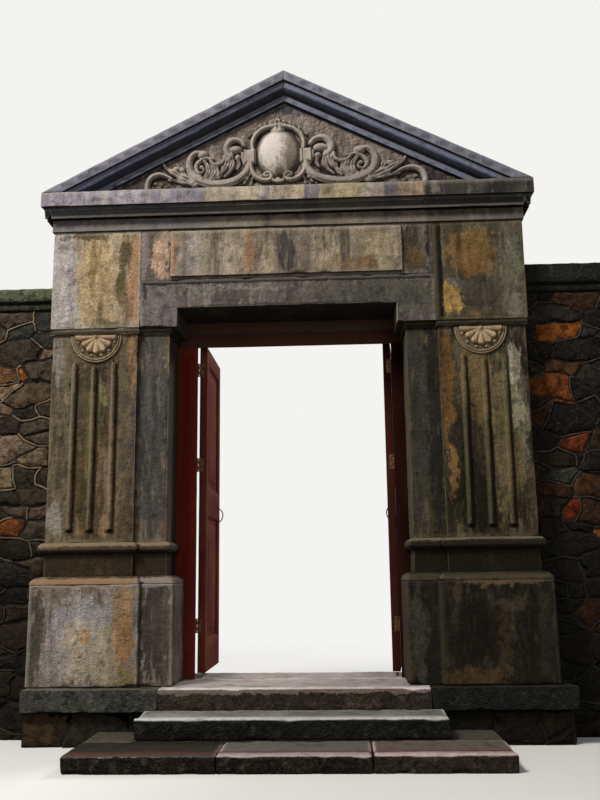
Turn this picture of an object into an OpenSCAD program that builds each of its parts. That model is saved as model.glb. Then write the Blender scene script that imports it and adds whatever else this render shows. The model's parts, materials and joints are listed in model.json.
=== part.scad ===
// Pedimented garden gateway. Two rendered masonry piers carry a lintel, a cornice
// and a carved gable over a pair of timber doors. Stone steps lead up to the
// threshold, and a rubble boundary wall butts against each pier.
// The front faces -Y, +X is to the right and +Z is up. The origin is on the
// ground at mid width, in the plane of the narrow strips beside the passage.

/* [Piers] */
// Clear width of the passage between the pedestals
passage_w = 1620; // [1300:10:2200]
// Width of a pedestal
pedestal_w = 1025; // [900:5:1300]
// Depth of a pier between its front and back strip faces
pier_depth = 600; // [500:10:900]
// Width of the pilaster on the outer part of a pier
pilaster_w = 640; // [500:10:760]
// How far the pilaster stands out from the strip beside it
pilaster_proj = 32; // [10:1:60]
// How far the pedestal stands out from the shaft above it
pedestal_proj = 75; // [40:1:110]
// Height of a pedestal
pedestal_h = 700; // [400:10:1000]
// Height of the rounded shoulder on top of a pedestal
shoulder_h = 55; // [30:1:90]
// Height of the plain band between the shoulder and the roll
dado_h = 157; // [80:1:300]
// Radius of the half-round roll at the foot of the shaft
roll_r = 40; // [20:1:50]
// Height of the neck band under the frieze
neck_h = 47; // [20:1:90]
// How far the neck band stands out from the shaft
neck_proj = 14; // [5:1:18]

/* [Reeds and rosettes] */
// Radius of the three upright reeds on a pilaster
reed_r = 23; // [12:1:35]
// Distance between the centres of neighbouring reeds
reed_pitch = 148; // [90:1:180]
// Gap between the roll and the foot of the reeds
reed_foot = 75; // [30:5:200]
// Gap between the foot of the half rosette and the top of the outer reeds
reed_gap = 28; // [10:1:200]
// How much shorter the middle reed is at its top
reed_drop = 35; // [0:1:80]
// Outer radius of the half rosette
rosette_r = 182; // [120:1:220]
// Number of petals on a half rosette
petals = 7; // [5:1:9]

/* [Entablature] */
// How far the frieze stands out from the pilaster
frieze_proj = 20; // [15:1:40]
// Height of the frieze from the neck band to the cornice
frieze_h = 769; // [600:1:1000]
// How far the ears of the lintel stand back from the pedestals' passage faces
ear_inset = 10; // [0:1:50]
// Height of the ears that hang below the lintel
ear_h = 146; // [80:1:220]
// Height of the lintel beam
lintel_h = 220; // [150:5:300]
// How far the pilaster's inner edge stands outside the frieze seam above it
seam_offset = 14; // [0:1:40]
// Width of the bare name plaque
plaque_w = 1750; // [1200:10:1900]
// Height of the bare name plaque
plaque_h = 362; // [250:2:400]
// How far the plaque stands out from the frieze
plaque_proj = 20; // [10:1:40]
// Height of the lower fascia of the cornice
fascia_h = 92; // [60:1:120]
// How far the fascia stands out from the frieze
fascia_proj = 14; // [6:1:20]
// Height of the hollow moulding under the slab
hollow_h = 66; // [40:1:90]
// Height of the fillet between the hollow and the slab
fillet_h = 22; // [12:1:40]
// How far the fillet stands out from the frieze
fillet_proj = 66; // [50:1:75]
// Height of the cornice slab
slab_h = 118; // [80:1:160]
// How far the cornice slab stands out from the frieze
slab_proj = 88; // [80:1:130]

/* [Gable] */
// Height of the carved relief above the cornice
relief_h = 640; // [500:5:800]
// Clearance between the crest of the relief and the peak of the gable wall
crest_gap = 105; // [40:5:200]
// Thickness of the sloping slab on the gable
rake_slab_t = 72; // [50:1:100]
// Thickness of the fillet under the sloping slab
rake_fillet_t = 14; // [8:1:25]
// Thickness of the hollow moulding under the fillet
rake_hollow_t = 58; // [40:1:80]
// Thickness of the sloping fascia against the gable wall
rake_fascia_t = 47; // [30:1:70]
// How far the gable wall is set back from the pilaster face
gable_setback = 15; // [0:1:30]
// Mortar bed between the gable wall and the sloping cornice
rake_bed = 0.2; // [0.1:0.1:0.3]
// Thickness of the carved relief
relief_t = 34; // [20:1:60]

/* [Footing and steps] */
// Height of the rubble footing
footing_h = 227; // [150:1:350]
// Height of the plinth course and the threshold
plinth_h = 153; // [100:1:200]
// How far the plinth course stands out from the pedestal
plinth_proj = 75; // [50:1:120]
// How far the footing is set back under the plinth course
footing_setback = 60; // [20:1:60]
// How far the plinth courses run past the pedestals at the left and right ends
plinth_ends = [8, 90]; // [0:1:120]
// How far the footings' left and right ends stand back from the plinth courses' ends
footing_ends = [12, 30]; // [5:1:60]
// How far the threshold runs in under each pedestal
threshold_bearing = 115; // [60:5:200]
// Width of the middle step
middle_step_w = 2004; // [1900:4:2400]
// Width of the bottom step
bottom_step_w = 2670; // [2500:10:3200]
// Height of the bottom step
bottom_step_h = 106; // [80:1:160]
// Height of the middle step above the bottom step
middle_step_h = 134; // [130:1:180]
// Depth of the middle step's tread
middle_tread = 341; // [280:1:450]
// Depth of the bottom step's tread
bottom_tread = 428; // [280:1:500]
// Width of each of the two left stones of the bottom step
step_stone_w = 917; // [700:1:1100]
// How far the steps stand to the right of the middle
step_shift = 28; // [-40:1:60]
// Width of the open joints between step stones
joint_w = 4; // [2:1:8]

/* [Door] */
// How far the doorway stands to the right of the middle
door_shift = 33; // [-30:1:40]
// How far the jambs' rebates stand inside the pedestals' passage faces
jamb_reveal = 37; // [35:1:120]
// Distance from the strip face to the front of the door frame
frame_setback = 360; // [250:5:450]
// Depth of the door frame
frame_depth = 90; // [75:1:120]
// Width of the stop that the leaves close against
stop_w = 12; // [8:1:25]
// Depth of the stop
stop_depth = 22; // [15:1:30]
// Height from the threshold to the underside of the door head
door_h = 2520; // [2100:10:2800]
// Height of the door head
head_h = 95; // [60:1:130]
// Depth of the rebate in the head above the stop
head_rebate = 38; // [20:1:50]
// Height of the boarding between the head and the lintel
head_board_h = 110; // [60:5:250]
// Thickness of the boarding between the head and the lintel
head_board_t = 40; // [20:1:60]
// Gap under a leaf
leaf_floor_gap = 33; // [10:1:50]
// Thickness of a leaf
leaf_t = 58; // [40:1:62]
// Width of the stiles of a leaf
stile_w = 92; // [70:1:120]
// Hairline joint between a stile and a rail
rail_joint = 0.2; // [0.1:0.1:0.5]
// Height of the top rail of a leaf
top_rail_h = 118; // [80:1:160]
// Height of the lock rail of a leaf
lock_rail_h = 210; // [120:1:260]
// Height from the threshold to the underside of the lock rail
lock_rail_z = 1215; // [900:5:1400]
// Height of the bottom rail of a leaf
bottom_rail_h = 225; // [150:1:300]
// Thickness of the door panels
panel_t = 20; // [12:1:30]
// How far the middle of a panel is raised on each side
panel_raise = 9; // [4:1:12]
// Width of the sunk border round the raised field of a panel
panel_border = 70; // [40:1:100]
// Clearance between a leaf and the jamb
leaf_gap = 5; // [5:0.5:8]
// Gap between a closed leaf and its stop
stop_gap = 6; // [5:0.5:10]
// Gap between the top of a leaf and the door head
leaf_head_gap = 7; // [5:0.5:12]
// Gap between the closed leaves
meeting_gap = 6; // [5:0.5:10]
// Distance from the back face of a leaf to the hinge pin
pin_throw = 12; // [9:0.5:20]
// Length of a butt hinge
hinge_l = 108; // [80:1:130]
// Width of a hinge flap
hinge_flap_w = 38; // [25:1:50]
// Thickness of a hinge flap
hinge_flap_t = 2.1; // [1.5:0.1:2.3]
// Radius of a hinge knuckle
knuckle_r = 7; // [5:0.5:8]
// Opening angle of the left leaf in the stored pose
left_open = 90; // [80:1:100]
// Opening angle of the right leaf in the stored pose
right_open = 95; // [80:1:100]
// Height of the lowest hinge above the foot of a leaf
hinge_foot = 290; // [150:5:400]
// Distance from the top of a leaf to the highest hinge
hinge_head = 138; // [100:1:300]
// Share of a leaf's height at which the middle hinge sits
hinge_share = 0.6; // [0.4:0.01:0.7]
// Radius of a hinge pin
hinge_pin_r = 3.5; // [3:0.1:4]
// Height of the bow handle's middle above the foot of the lock rail
handle_rise = 35; // [0:5:150]
// Length of the bow handle on a leaf
handle_l = 116; // [90:1:160]
// How far the bow handle stands out from a leaf
handle_reach = 34; // [26:1:45]
// Radius of the bow handle's bar
handle_r = 4.5; // [3:0.5:6]

/* [Boundary walls] */
// Distance from mid width to the cut end of each wall
wall_reach = 3000; // [2400:10:4000]
// Thickness of the walls
wall_t = 300; // [200:10:450]
// Distance from the strip face to the front of the walls
wall_setback = 150; // [50:5:250]
// Height of the left wall under its coping
left_wall_h = 3167; // [2400:1:3300]
// Height of the right wall under its coping
right_wall_h = 3215; // [2400:1:3300]
// Height of the lower course of a coping
coping_bed_h = 66; // [40:1:100]
// Height of the upper course of the left coping
left_coping_h = 127; // [80:1:200]
// Height of the upper course of the right coping
right_coping_h = 169; // [80:1:200]
// How far the coping's lower course stands out from the wall
coping_bed_proj = 18; // [0:1:20]
// How far the coping's upper course stands out from the wall
coping_proj = 45; // [20:1:80]

/* [Hidden] */
$fn = 48;
far = 6000;

// Heights
plinth_top = footing_h + plinth_h;
pedestal_top = plinth_top + pedestal_h;
dado_top = pedestal_top + shoulder_h + dado_h;
roll_top = dado_top + 2 * roll_r;
head_z = plinth_top + door_h;
soffit_z = head_z + head_h + head_board_h;
frieze_z = soffit_z - ear_h;
neck_z = frieze_z - neck_h;
lintel_top = soffit_z + lintel_h;
frieze_top = frieze_z + frieze_h;
cornice_top = frieze_top + fascia_h + hollow_h + fillet_h + slab_h;

// Half widths
pedestal_in = passage_w / 2;
pedestal_out = pedestal_in + pedestal_w;
shaft_in = pedestal_in + pedestal_proj;
shaft_out = pedestal_out - pedestal_proj;
pilaster_in = shaft_out - pilaster_w;
pilaster_mid = shaft_out - pilaster_w / 2;
frieze_out = shaft_out + frieze_proj;
slab_out = frieze_out + slab_proj;
plinth_out = [pedestal_out + plinth_ends[0], pedestal_out + plinth_ends[1]];
seam_x = pilaster_in - seam_offset;
ear_in = pedestal_in + ear_inset;
footing_out = [plinth_out[0] - footing_ends[0], plinth_out[1] - footing_ends[1]];

// Front faces
pilaster_y = -pilaster_proj;
frieze_y = pilaster_y - frieze_proj;
plinth_y = pilaster_y - pedestal_proj - plinth_proj;
footing_y = plinth_y + footing_setback;
gable_y = pilaster_y + gable_setback;
frame_back = frame_setback + frame_depth;

// Steps
middle_top = bottom_step_h + middle_step_h;
middle_y = plinth_y - middle_tread;
bottom_y = middle_y - bottom_tread;
threshold_half = pedestal_in + threshold_bearing;
threshold_x = [step_shift - threshold_half, step_shift + threshold_half];
middle_x = [step_shift - middle_step_w / 2, step_shift + middle_step_w / 2];
bottom_x = [step_shift - bottom_step_w / 2, step_shift + bottom_step_w / 2];

// Gable
rake_depth = rake_slab_t + rake_fillet_t + rake_hollow_t + rake_fascia_t;
gable_h = relief_h + crest_gap;
gable_slope = atan(gable_h / slab_out) + asin((rake_depth + rake_bed) / norm([slab_out, gable_h]));
gable_apex = cornice_top + gable_h;
gable_half = gable_h / tan(gable_slope);
apex_z = cornice_top + slab_out * tan(gable_slope);

// Door
rebate_z = head_z + head_rebate;
door_in = pedestal_in - jamb_reveal;
leaf_front = frame_setback + stop_depth + stop_gap;
pin_x = door_in - leaf_gap / 2;
pin_y = leaf_front + leaf_t + pin_throw;
leaf_near = leaf_gap / 2;
leaf_far = pin_x - meeting_gap / 2;
leaf_v = [-pin_throw - leaf_t, -pin_throw];
leaf_z = plinth_top + leaf_floor_gap;
leaf_top = rebate_z - leaf_head_gap;
lock_z = plinth_top + lock_rail_z;
edge_bevel = leaf_t * 0.07;  // so that one leaf swings clear of the other
hinge_z = [leaf_z + hinge_foot, leaf_z + hinge_share * (leaf_top - leaf_z),
           leaf_top - hinge_head - hinge_l];
knuckles = 5;
knuckle_gap = 0.3;
tongue_l = 1.5;
flap_start = knuckle_r + tongue_l;

// Mouldings, as points of projection and height, from the bottom up
arc_step = 15;
function arc(r_p, r_z, a0, a1) =
    [for (a = [a0:(a1 > a0 ? arc_step : -arc_step):a1]) [r_p * cos(a), r_z * sin(a)]];
function moved(points, p, z) = [for (q = points) [q[0] + p, q[1] + z]];
base_profile = concat(
    moved(arc(pedestal_proj, shoulder_h, 0, 90), 0, pedestal_top),
    moved(arc(roll_r, roll_r, -90, 90), 0, dado_top + roll_r));
hollow_z = frieze_top + fascia_h;
hollow_lip = 6;
hollow_run = fillet_proj - hollow_lip - fascia_proj;
cornice_profile = concat(
    [[fascia_proj, frieze_top], [fascia_proj, hollow_z]],
    moved(arc(hollow_run, -hollow_h, 180, 90), fillet_proj - hollow_lip, hollow_z + hollow_h),
    [[fillet_proj, hollow_z + hollow_h], [fillet_proj, hollow_z + hollow_h + fillet_h],
     [slab_proj, hollow_z + hollow_h + fillet_h], [slab_proj, cornice_top]]);

// The parts of the list in reverse order
function reversed(list) = [for (i = [len(list) - 1:-1:0]) list[i]];

// A plain block between two corners
module block(low, high) {
    translate(low) cube(high - low);
}

// A shape drawn in Y and Z, run along X from x0 to x1
module along_x(x0, x1) {
    translate([x0, 0, 0]) rotate([90, 0, 90]) linear_extrude(x1 - x0) children();
}

// A shape drawn in X and Z, run along Y from y0 to y1
module along_y(y0, y1) {
    translate([0, y1, 0]) rotate([90, 0, 0]) linear_extrude(y1 - y0) children();
}

// A moulding mitred round all four sides of a rectangle
module mitred(x, y, profile) {
    margin = 400;
    intersection() {
        along_x(x[0] - margin, x[1] + margin)
            polygon(concat([for (p = profile) [y[0] - p[0], p[1]]],
                           [for (p = reversed(profile)) [y[1] + p[0], p[1]]]));
        along_y(y[0] - margin, y[1] + margin)
            polygon(concat([for (p = profile) [x[0] - p[0], p[1]]],
                           [for (p = reversed(profile)) [x[1] + p[0], p[1]]]));
    }
}

// The right-hand piece as drawn, or its mirror image on the left
module on_side(side) {
    mirror([side < 0 ? 1 : 0, 0, 0]) children();
}

// Strip and pilaster of a pier's plan, grown by g, between two heights
module pier_plan(g, z0, z1) {
    block([shaft_in - g, -g, z0], [shaft_out, pier_depth + g, z1]);
    block([pilaster_in - g, pilaster_y - g, z0],
          [shaft_out + g, pier_depth - pilaster_y + g, z1]);
}

// The room that the door frame and the open leaves need beside the passage
module door_recess(z0, z1) {
    block([0, frame_setback, z0], [shaft_in, far, z1]);
}

// Foundations

module footing(side) {
    color("#4a463d")
    if (side < 0)
        block([-footing_out[0], footing_y, 0],
              [threshold_x[0], pier_depth - footing_y, footing_h]);
    else
        block([threshold_x[1], footing_y, 0],
              [footing_out[1], pier_depth - footing_y, footing_h]);
}

module plinth_course(side) {
    color("#3b3d42")
    if (side < 0)
        block([-plinth_out[0], plinth_y, footing_h],
              [threshold_x[0], pier_depth - plinth_y, plinth_top]);
    else
        block([threshold_x[1], plinth_y, footing_h],
              [plinth_out[1], pier_depth - plinth_y, plinth_top]);
}

module step_core() {
    color("#57524a") {
        block([middle_x[0], middle_y, 0], [middle_x[1], plinth_y, bottom_step_h]);
        block([threshold_x[0], plinth_y, 0],
              [threshold_x[1], pier_depth - plinth_y, footing_h]);
    }
}

// Steps

module threshold() {
    joint_y = frame_setback - 20;  // just in front of the door frame
    color("#6b6058") {
        block([threshold_x[0], plinth_y, footing_h],
              [threshold_x[1], joint_y - joint_w / 2, plinth_top]);
        block([threshold_x[0], joint_y + joint_w / 2, footing_h],
              [threshold_x[1], pier_depth - plinth_y, plinth_top]);
    }
}

module middle_step() {
    nosing = 14;
    color("#6f736c")
    along_x(middle_x[0], middle_x[1])
        polygon(concat([[plinth_y, bottom_step_h], [plinth_y, middle_top]],
                       [for (a = [90:30:180]) [middle_y + nosing * (1 + cos(a)),
                                               middle_top - nosing * (1 - sin(a))]],
                       [[middle_y, bottom_step_h]]));
}

module bottom_step() {
    nosing = 12;
    cuts = [bottom_x[0], bottom_x[0] + step_stone_w,
            bottom_x[0] + 2 * step_stone_w, bottom_x[1]];
    color("#8a7a76")
    for (i = [0:2])
        along_x(cuts[i] + (i > 0 ? joint_w : 0), cuts[i + 1])
            polygon(concat([[middle_y, 0], [middle_y, bottom_step_h]],
                           [for (a = [90:30:180]) [bottom_y + nosing * (1 + cos(a)),
                                                   bottom_step_h - nosing * (1 - sin(a))]],
                           [[bottom_y, 0]]));
}

module side_stones() {
    drop = 4;  // below the bottom step
    color("#6a665e") {
        block([bottom_x[0], middle_y, 0], [middle_x[0], footing_y, bottom_step_h - drop]);
        block([middle_x[1], middle_y, 0], [bottom_x[1], footing_y, bottom_step_h - drop]);
    }
}

// Piers

module pedestal(side) {
    color("#a39c92")
    on_side(side)
    difference() {
        pier_plan(pedestal_proj, plinth_top, pedestal_top);
        door_recess(plinth_top - 1, pedestal_top + 1);
    }
}

module pier_base(side) {
    color("#8f877c")
    on_side(side)
    difference() {
        union() {
            mitred([shaft_in, pilaster_mid], [0, pier_depth], base_profile);
            mitred([pilaster_in, shaft_out], [pilaster_y, pier_depth - pilaster_y],
                   base_profile);
        }
        door_recess(pedestal_top - 1, roll_top + 1);
    }
}

module pier(side) {
    reed_z = roll_top + reed_foot;
    reed_l = neck_z - rosette_r - reed_gap - reed_z;
    color("#7d766f")
    on_side(side) {
        pier_plan(0, roll_top, neck_z);
        difference() {
            pier_plan(neck_proj, neck_z, frieze_z);
            door_recess(neck_z - 1, frieze_z + 1);
        }
        for (i = [-1:1])
            translate([pilaster_mid + i * reed_pitch, pilaster_y, reed_z])
                reed(reed_l - (i == 0 ? reed_drop : 0));
    }
}

module reed(length) {
    translate([0, 0, reed_r]) cylinder(h = length - 2 * reed_r, r = reed_r);
    for (z = [reed_r, length - reed_r])
        translate([0, 0, z]) sphere(reed_r);
}

// Half rosettes that hang below the neck bands, as dishes with raised petals
module rosettes() {
    dish_t = 10;
    rim_r = 7;
    petal_r = rosette_r * 0.125;
    petal_l = rosette_r * 0.8;
    hub_z = neck_z - petal_r - 2;
    color("#8d8579")
    for (side = [-1, 1])
    on_side(side)
    translate([pilaster_mid, pilaster_y, hub_z])
    rotate([90, 0, 0])
    intersection() {
        translate([-far / 2, -far / 2, 0]) cube([far, far / 2 + petal_r, far]);
        union() {
            cylinder(h = dish_t, r = rosette_r);
            for (r = [rosette_r - rim_r, rosette_r - 3.2 * rim_r])
                translate([0, 0, dish_t]) rotate_extrude() translate([r, 0]) circle(rim_r);
            for (i = [0:petals - 1])
                rotate([0, 0, 180 + i * 180 / (petals - 1)]) petal(petal_l, petal_r, dish_t);
            cylinder(h = dish_t + petal_r * 1.4, r = petal_r * 0.9);
        }
    }
}

module petal(length, r, base) {
    translate([0, 0, base]) {
        rotate([0, 90, 0]) cylinder(h = length - r, r1 = r * 0.35, r2 = r);
        translate([length - r, 0, 0]) sphere(r);
    }
}

// Lintel and frieze

module lintel() {
    color("#6e6a69")
    difference() {
        block([-seam_x, frieze_y, frieze_z],
              [seam_x, pier_depth - frieze_y, lintel_top]);
        block([-ear_in, -far, frieze_z - 1], [ear_in, far, soffit_z]);
        block([-shaft_in, frame_setback, frieze_z - 1], [shaft_in, frame_back, soffit_z]);
    }
}

module frieze_block(side) {
    color("#b29c7c")
    on_side(side)
    block([seam_x, frieze_y, frieze_z],
          [frieze_out, pier_depth - frieze_y, frieze_top]);
}

module frieze_panel() {
    color("#a89a86")
    block([-seam_x, frieze_y, lintel_top],
          [seam_x, pier_depth - frieze_y, frieze_top]);
}

module plaque() {
    plaque_z = (lintel_top + frieze_top - plaque_h) / 2;
    color("#b59a7e")
    block([-plaque_w / 2, frieze_y - plaque_proj, plaque_z],
          [plaque_w / 2, frieze_y, plaque_z + plaque_h]);
}

module cornice() {
    color("#8e8b90")
    mitred([-frieze_out, frieze_out], [frieze_y, pier_depth - frieze_y], cornice_profile);
}

// Gable

module gable_wall() {
    color("#6d645a")
    along_y(gable_y, pier_depth - gable_y)
        polygon([[-gable_half, cornice_top], [gable_half, cornice_top], [0, gable_apex]]);
}

// Section of the sloping cornice: front half, from the top edge down to the wall
slab_y = frieze_y - slab_proj;
rake_run = gable_y - slab_y;
function rake_front() =
    let (z1 = -rake_slab_t, z2 = z1 - rake_fillet_t, z3 = z2 - rake_hollow_t,
         p1 = rake_run * 0.2, p2 = rake_run * 0.72)
    concat([[slab_y, 0], [slab_y, z1], [slab_y + p1, z1], [slab_y + p1, z2]],
           [for (a = [arc_step:arc_step:90])
               [slab_y + p1 + (p2 - p1) * (1 - cos(a)), z2 - rake_hollow_t * sin(a)]],
           [[slab_y + p2, z3 - rake_fascia_t]]);

module raking_cornice(side) {
    front = rake_front();
    overrun = 400;
    color("#5d5a63")
    on_side(side)
    intersection() {
        block([0, -far, cornice_top], [far, far, apex_z + 1]);
        translate([0, 0, apex_z])
        rotate([0, gable_slope, 0])
        along_x(-overrun, slab_out / cos(gable_slope) + overrun)
            polygon(concat(front, [for (p = reversed(front)) [pier_depth - p[0], p[1]]]));
    }
}

// Carved relief in the gable. It is drawn flat, with X outwards and Z up from the
// middle of the cornice, on a grid that relief_h scales.
relief_grid = 640;
shield_middle = [0, 325];
shield_half = [181, 210];
clip_low = [222, 240];
clip_high = [330, 378];
clip_joint = 0.2;  // between a clip and the scroll that runs behind it

function arc_points(c, r, a0, a1, steps) =
    [for (i = [0:steps]) let (a = a0 + (a1 - a0) * i / steps) c + r * [cos(a), sin(a)]];
function across(p, i) =
    let (d = p[min(i + 1, len(p) - 1)] - p[max(i - 1, 0)]) [-d[1], d[0]] / norm(d);

// A band along a row of points that narrows from w0 to w1
module band(p, w0, w1) {
    half = [for (i = [0:len(p) - 1]) (w0 + (w1 - w0) * i / (len(p) - 1)) / 2];
    polygon(concat([for (i = [0:len(p) - 1]) p[i] + half[i] * across(p, i)],
                   [for (i = [len(p) - 1:-1:0]) p[i] - half[i] * across(p, i)]));
}

// A leaf between two points, fullest in the middle
module blade(a, b, w) {
    steps = 8;
    d = (b - a) / norm(b - a);
    side = [-d[1], d[0]];
    function edge(i, s) = a + (b - a) * i / steps + s * side * w / 2 * sin(180 * i / steps);
    polygon(concat([for (i = [0:steps]) edge(i, 1)], [for (i = [steps - 1:-1:1]) edge(i, -1)]));
}

module raised(thickness) {
    translate([0, gable_y, cornice_top]) rotate([90, 0, 0])
        linear_extrude(thickness) scale(relief_h / relief_grid) children();
}

module oval(c, half, step) {
    polygon([for (a = [step / 2:step:359]) c + [half[0] * cos(a), half[1] * sin(a)]]);
}

// Shield, the straps that frame it, their clips and the crest
module cartouche() {
    strap = concat([for (a = [92:10:240]) shield_middle
                    + [(shield_half[0] + 44) * cos(a), (shield_half[1] + 34) * sin(a)]],
                   arc_points([-112, 142], 30, 270, 440, 6));
    color("#a79883") {
        raised(relief_t) oval(shield_middle, shield_half, 10);
        for (side = [-1, 1])
            on_side(side) {
                raised(relief_t * 0.75) mirror([1, 0]) band(strap, 34, 26);
                raised(relief_t * 0.9) translate(clip_low) square(clip_high - clip_low);
            }
        raised(relief_t * 0.75) {
            band(arc_points([10, 585], 48, 200, 20, 8), 40, 12);
            translate([0, 96]) oval([0, 0], [34, 34], 20);
        }
    }
}

// S-scroll with a volute at each end, its foliage, the outer leaf and the tail
module scroll(side) {
    volute = [385, 418];
    curl = [626, 342];
    s_curve = concat(arc_points(volute, 60, 250, 540, 14),
                     [[310, 330]],
                     arc_points([470, 250], 172, 192, 270, 8),
                     arc_points([632, 238], 140, 264, 450, 14),
                     arc_points(curl, 36, 90, 230, 6));
    color("#a79883")
    on_side(side) {
        raised(relief_t * 0.8)
            difference() {
                band(s_curve, 30, 40);
                translate([clip_low[0], clip_low[1] - clip_joint])
                    square(clip_high - clip_low + [clip_joint, 2 * clip_joint]);
            }
        raised(relief_t) {
            translate(volute + [2, -20]) oval([0, 0], [38, 38], 20);
            translate(curl) oval([0, 0], [30, 30], 20);
        }
        raised(relief_t * 0.6) {
            for (tip = [[500, 190], [446, 178], [384, 232]])
                blade(volute + [50, -10], tip, 50);
            for (leaf = [[[760, 190], [610, 268]], [[735, 130], [560, 232]],
                         [[640, 100], [520, 178]]])
                blade(leaf[0], leaf[1], 50);
            blade([735, 140], [935, 252], 70);
            blade([720, 128], [925, 205], 50);
            translate([846, 262]) oval([0, 0], [24, 24], 20);
        }
        raised(relief_t * 0.7) band(arc_points([1000, 128], 66, 150, -30, 10), 26, 34);
    }
}

// Boundary walls

// What the pier fills beside a wall, as a stepped solid to cut the wall's end to
module pier_envelope(side) {
    end = side < 0 ? 0 : 1;
    block([0, -far, -1], [footing_out[end], far, footing_h]);
    block([0, -far, 0], [plinth_out[end], far, plinth_top]);
    block([0, -far, 0], [pedestal_out, far, pedestal_top + shoulder_h]);
    block([0, -far, 0], [shaft_out + roll_r, far, roll_top]);
    block([0, -far, 0], [frieze_out, far, frieze_top]);
}

module wall(side, height) {
    color("#5b5a4a")
    on_side(side)
    difference() {
        block([shaft_out, wall_setback, 0], [wall_reach, wall_setback + wall_t, height]);
        pier_envelope(side);
    }
}

module coping(side, height, upper_h) {
    top_slope = 18;
    color("#4d4f45")
    on_side(side)
    along_x(frieze_out, wall_reach)
        polygon([[wall_setback - coping_bed_proj, height],
                 [wall_setback - coping_bed_proj, height + coping_bed_h],
                 [wall_setback - coping_proj, height + coping_bed_h],
                 [wall_setback - coping_proj, height + coping_bed_h + upper_h - top_slope],
                 [wall_setback + wall_t / 2, height + coping_bed_h + upper_h],
                 [wall_setback + wall_t + coping_proj,
                  height + coping_bed_h + upper_h - top_slope],
                 [wall_setback + wall_t + coping_proj, height + coping_bed_h],
                 [wall_setback + wall_t + coping_bed_proj, height + coping_bed_h],
                 [wall_setback + wall_t + coping_bed_proj, height]]);
}

// Door frame

module jamb(side) {
    outer = side * shaft_in;
    inner = door_shift + side * door_in;
    lip = inner - side * stop_w;
    color("#5a1210") {
        block([min(outer, inner), frame_setback, plinth_top],
              [max(outer, inner), frame_back, head_z]);
        block([min(lip, inner), frame_setback, plinth_top],
              [max(lip, inner), frame_setback + stop_depth, head_z]);
    }
}

module door_head() {
    color("#4c1a16")
    difference() {
        block([-shaft_in, frame_setback, head_z], [shaft_in, frame_back, head_z + head_h]);
        block([door_shift - door_in, frame_setback + stop_depth, head_z - 1],
              [door_shift + door_in, frame_back + 1, rebate_z]);
    }
}

module head_board() {
    board_y = (frame_setback + frame_back - head_board_t) / 2;
    color("#33100e")
    block([-shaft_in, board_y, head_z + head_h], [shaft_in, board_y + head_board_t, soffit_z]);
}

// Door leaves. A leaf is drawn closed, with the hinge pin at the origin, the leaf
// running along +X and its outer face towards -Y.

module hung(side) {
    translate([door_shift + side * pin_x, pin_y, 0])
    mirror([side > 0 ? 1 : 0, 0, 0])
    rotate([0, 0, side < 0 ? left_open : right_open])
        children();
}

// Two stiles with three rails between them, a hairline joint apart
module leaf_frame(side) {
    x = [leaf_near + stile_w, leaf_far - stile_w];
    z = panel_heights();
    color("#54201b")
    hung(side) {
        block([leaf_near, leaf_v[0], leaf_z], [x[0], leaf_v[1], leaf_top]);
        translate([0, 0, leaf_z]) linear_extrude(leaf_top - leaf_z)
            polygon([[x[1], leaf_v[0]], [leaf_far - edge_bevel, leaf_v[0]],
                     [leaf_far, leaf_v[1]], [x[1], leaf_v[1]]]);
        for (rail = [[leaf_z, z[0][0]], [z[0][1], z[1][0]], [z[1][1], leaf_top]])
            block([x[0] + rail_joint, leaf_v[0], rail[0]],
                  [x[1] - rail_joint, leaf_v[1], rail[1]]);
    }
}

function panel_heights() = [[leaf_z + bottom_rail_h, lock_z],
                            [lock_z + lock_rail_h, leaf_top - top_rail_h]];

module leaf_panels(side) {
    x = [leaf_near + stile_w, leaf_far - stile_w];
    mid = (leaf_v[0] + leaf_v[1]) / 2;
    color("#5e2a24")
    hung(side)
    for (z = panel_heights()) {
        block([x[0], mid - panel_t / 2, z[0]], [x[1], mid + panel_t / 2, z[1]]);
        block([x[0] + panel_border, mid - panel_t / 2 - panel_raise, z[0] + panel_border],
              [x[1] - panel_border, mid + panel_t / 2 + panel_raise, z[1] - panel_border]);
    }
}

// One knuckle segment of a hinge, counted from the bottom
function knuckle_z(i) = [i * hinge_l / knuckles + knuckle_gap / 2,
                         (i + 1) * hinge_l / knuckles - knuckle_gap / 2];

// Flap, tongues and knuckles of one leaf of a hinge. The flap lies in the plane
// x = flap_x, and runs along -Y from the pin.
module hinge_half(own, flap_x, pin_bore) {
    flap_x0 = min(flap_x, flap_x + (flap_x < 0 ? hinge_flap_t : -hinge_flap_t));
    translate([flap_x0, -flap_start - hinge_flap_w, 0])
        cube([hinge_flap_t, hinge_flap_w, hinge_l]);
    difference() {
        for (i = own) {
            z = knuckle_z(i);
            translate([0, 0, z[0]]) cylinder(h = z[1] - z[0], r = knuckle_r);
            translate([flap_x0, -flap_start - 1, z[0]])
                cube([hinge_flap_t, flap_start + 1, z[1] - z[0]]);
        }
        if (pin_bore > 0)
            translate([0, 0, -1]) cylinder(h = hinge_l + 2, r = pin_bore);
    }
}

module leaf_hinges(side) {
    pin_play = 0.1;
    color("#8a7048")
    hung(side)
    for (z = hinge_z)
        translate([0, 0, z]) hinge_half([1, 3], leaf_near, hinge_pin_r + pin_play);
}

module frame_hinges() {
    color("#8a7048")
    for (side = [-1, 1])
        translate([door_shift + side * pin_x, pin_y, 0])
        mirror([side > 0 ? 1 : 0, 0, 0])
        for (z = hinge_z)
            translate([0, 0, z]) {
                hinge_half([0, 2, 4], leaf_gap / -2, 0);
                cylinder(h = hinge_l, r = hinge_pin_r);
            }
}

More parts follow.
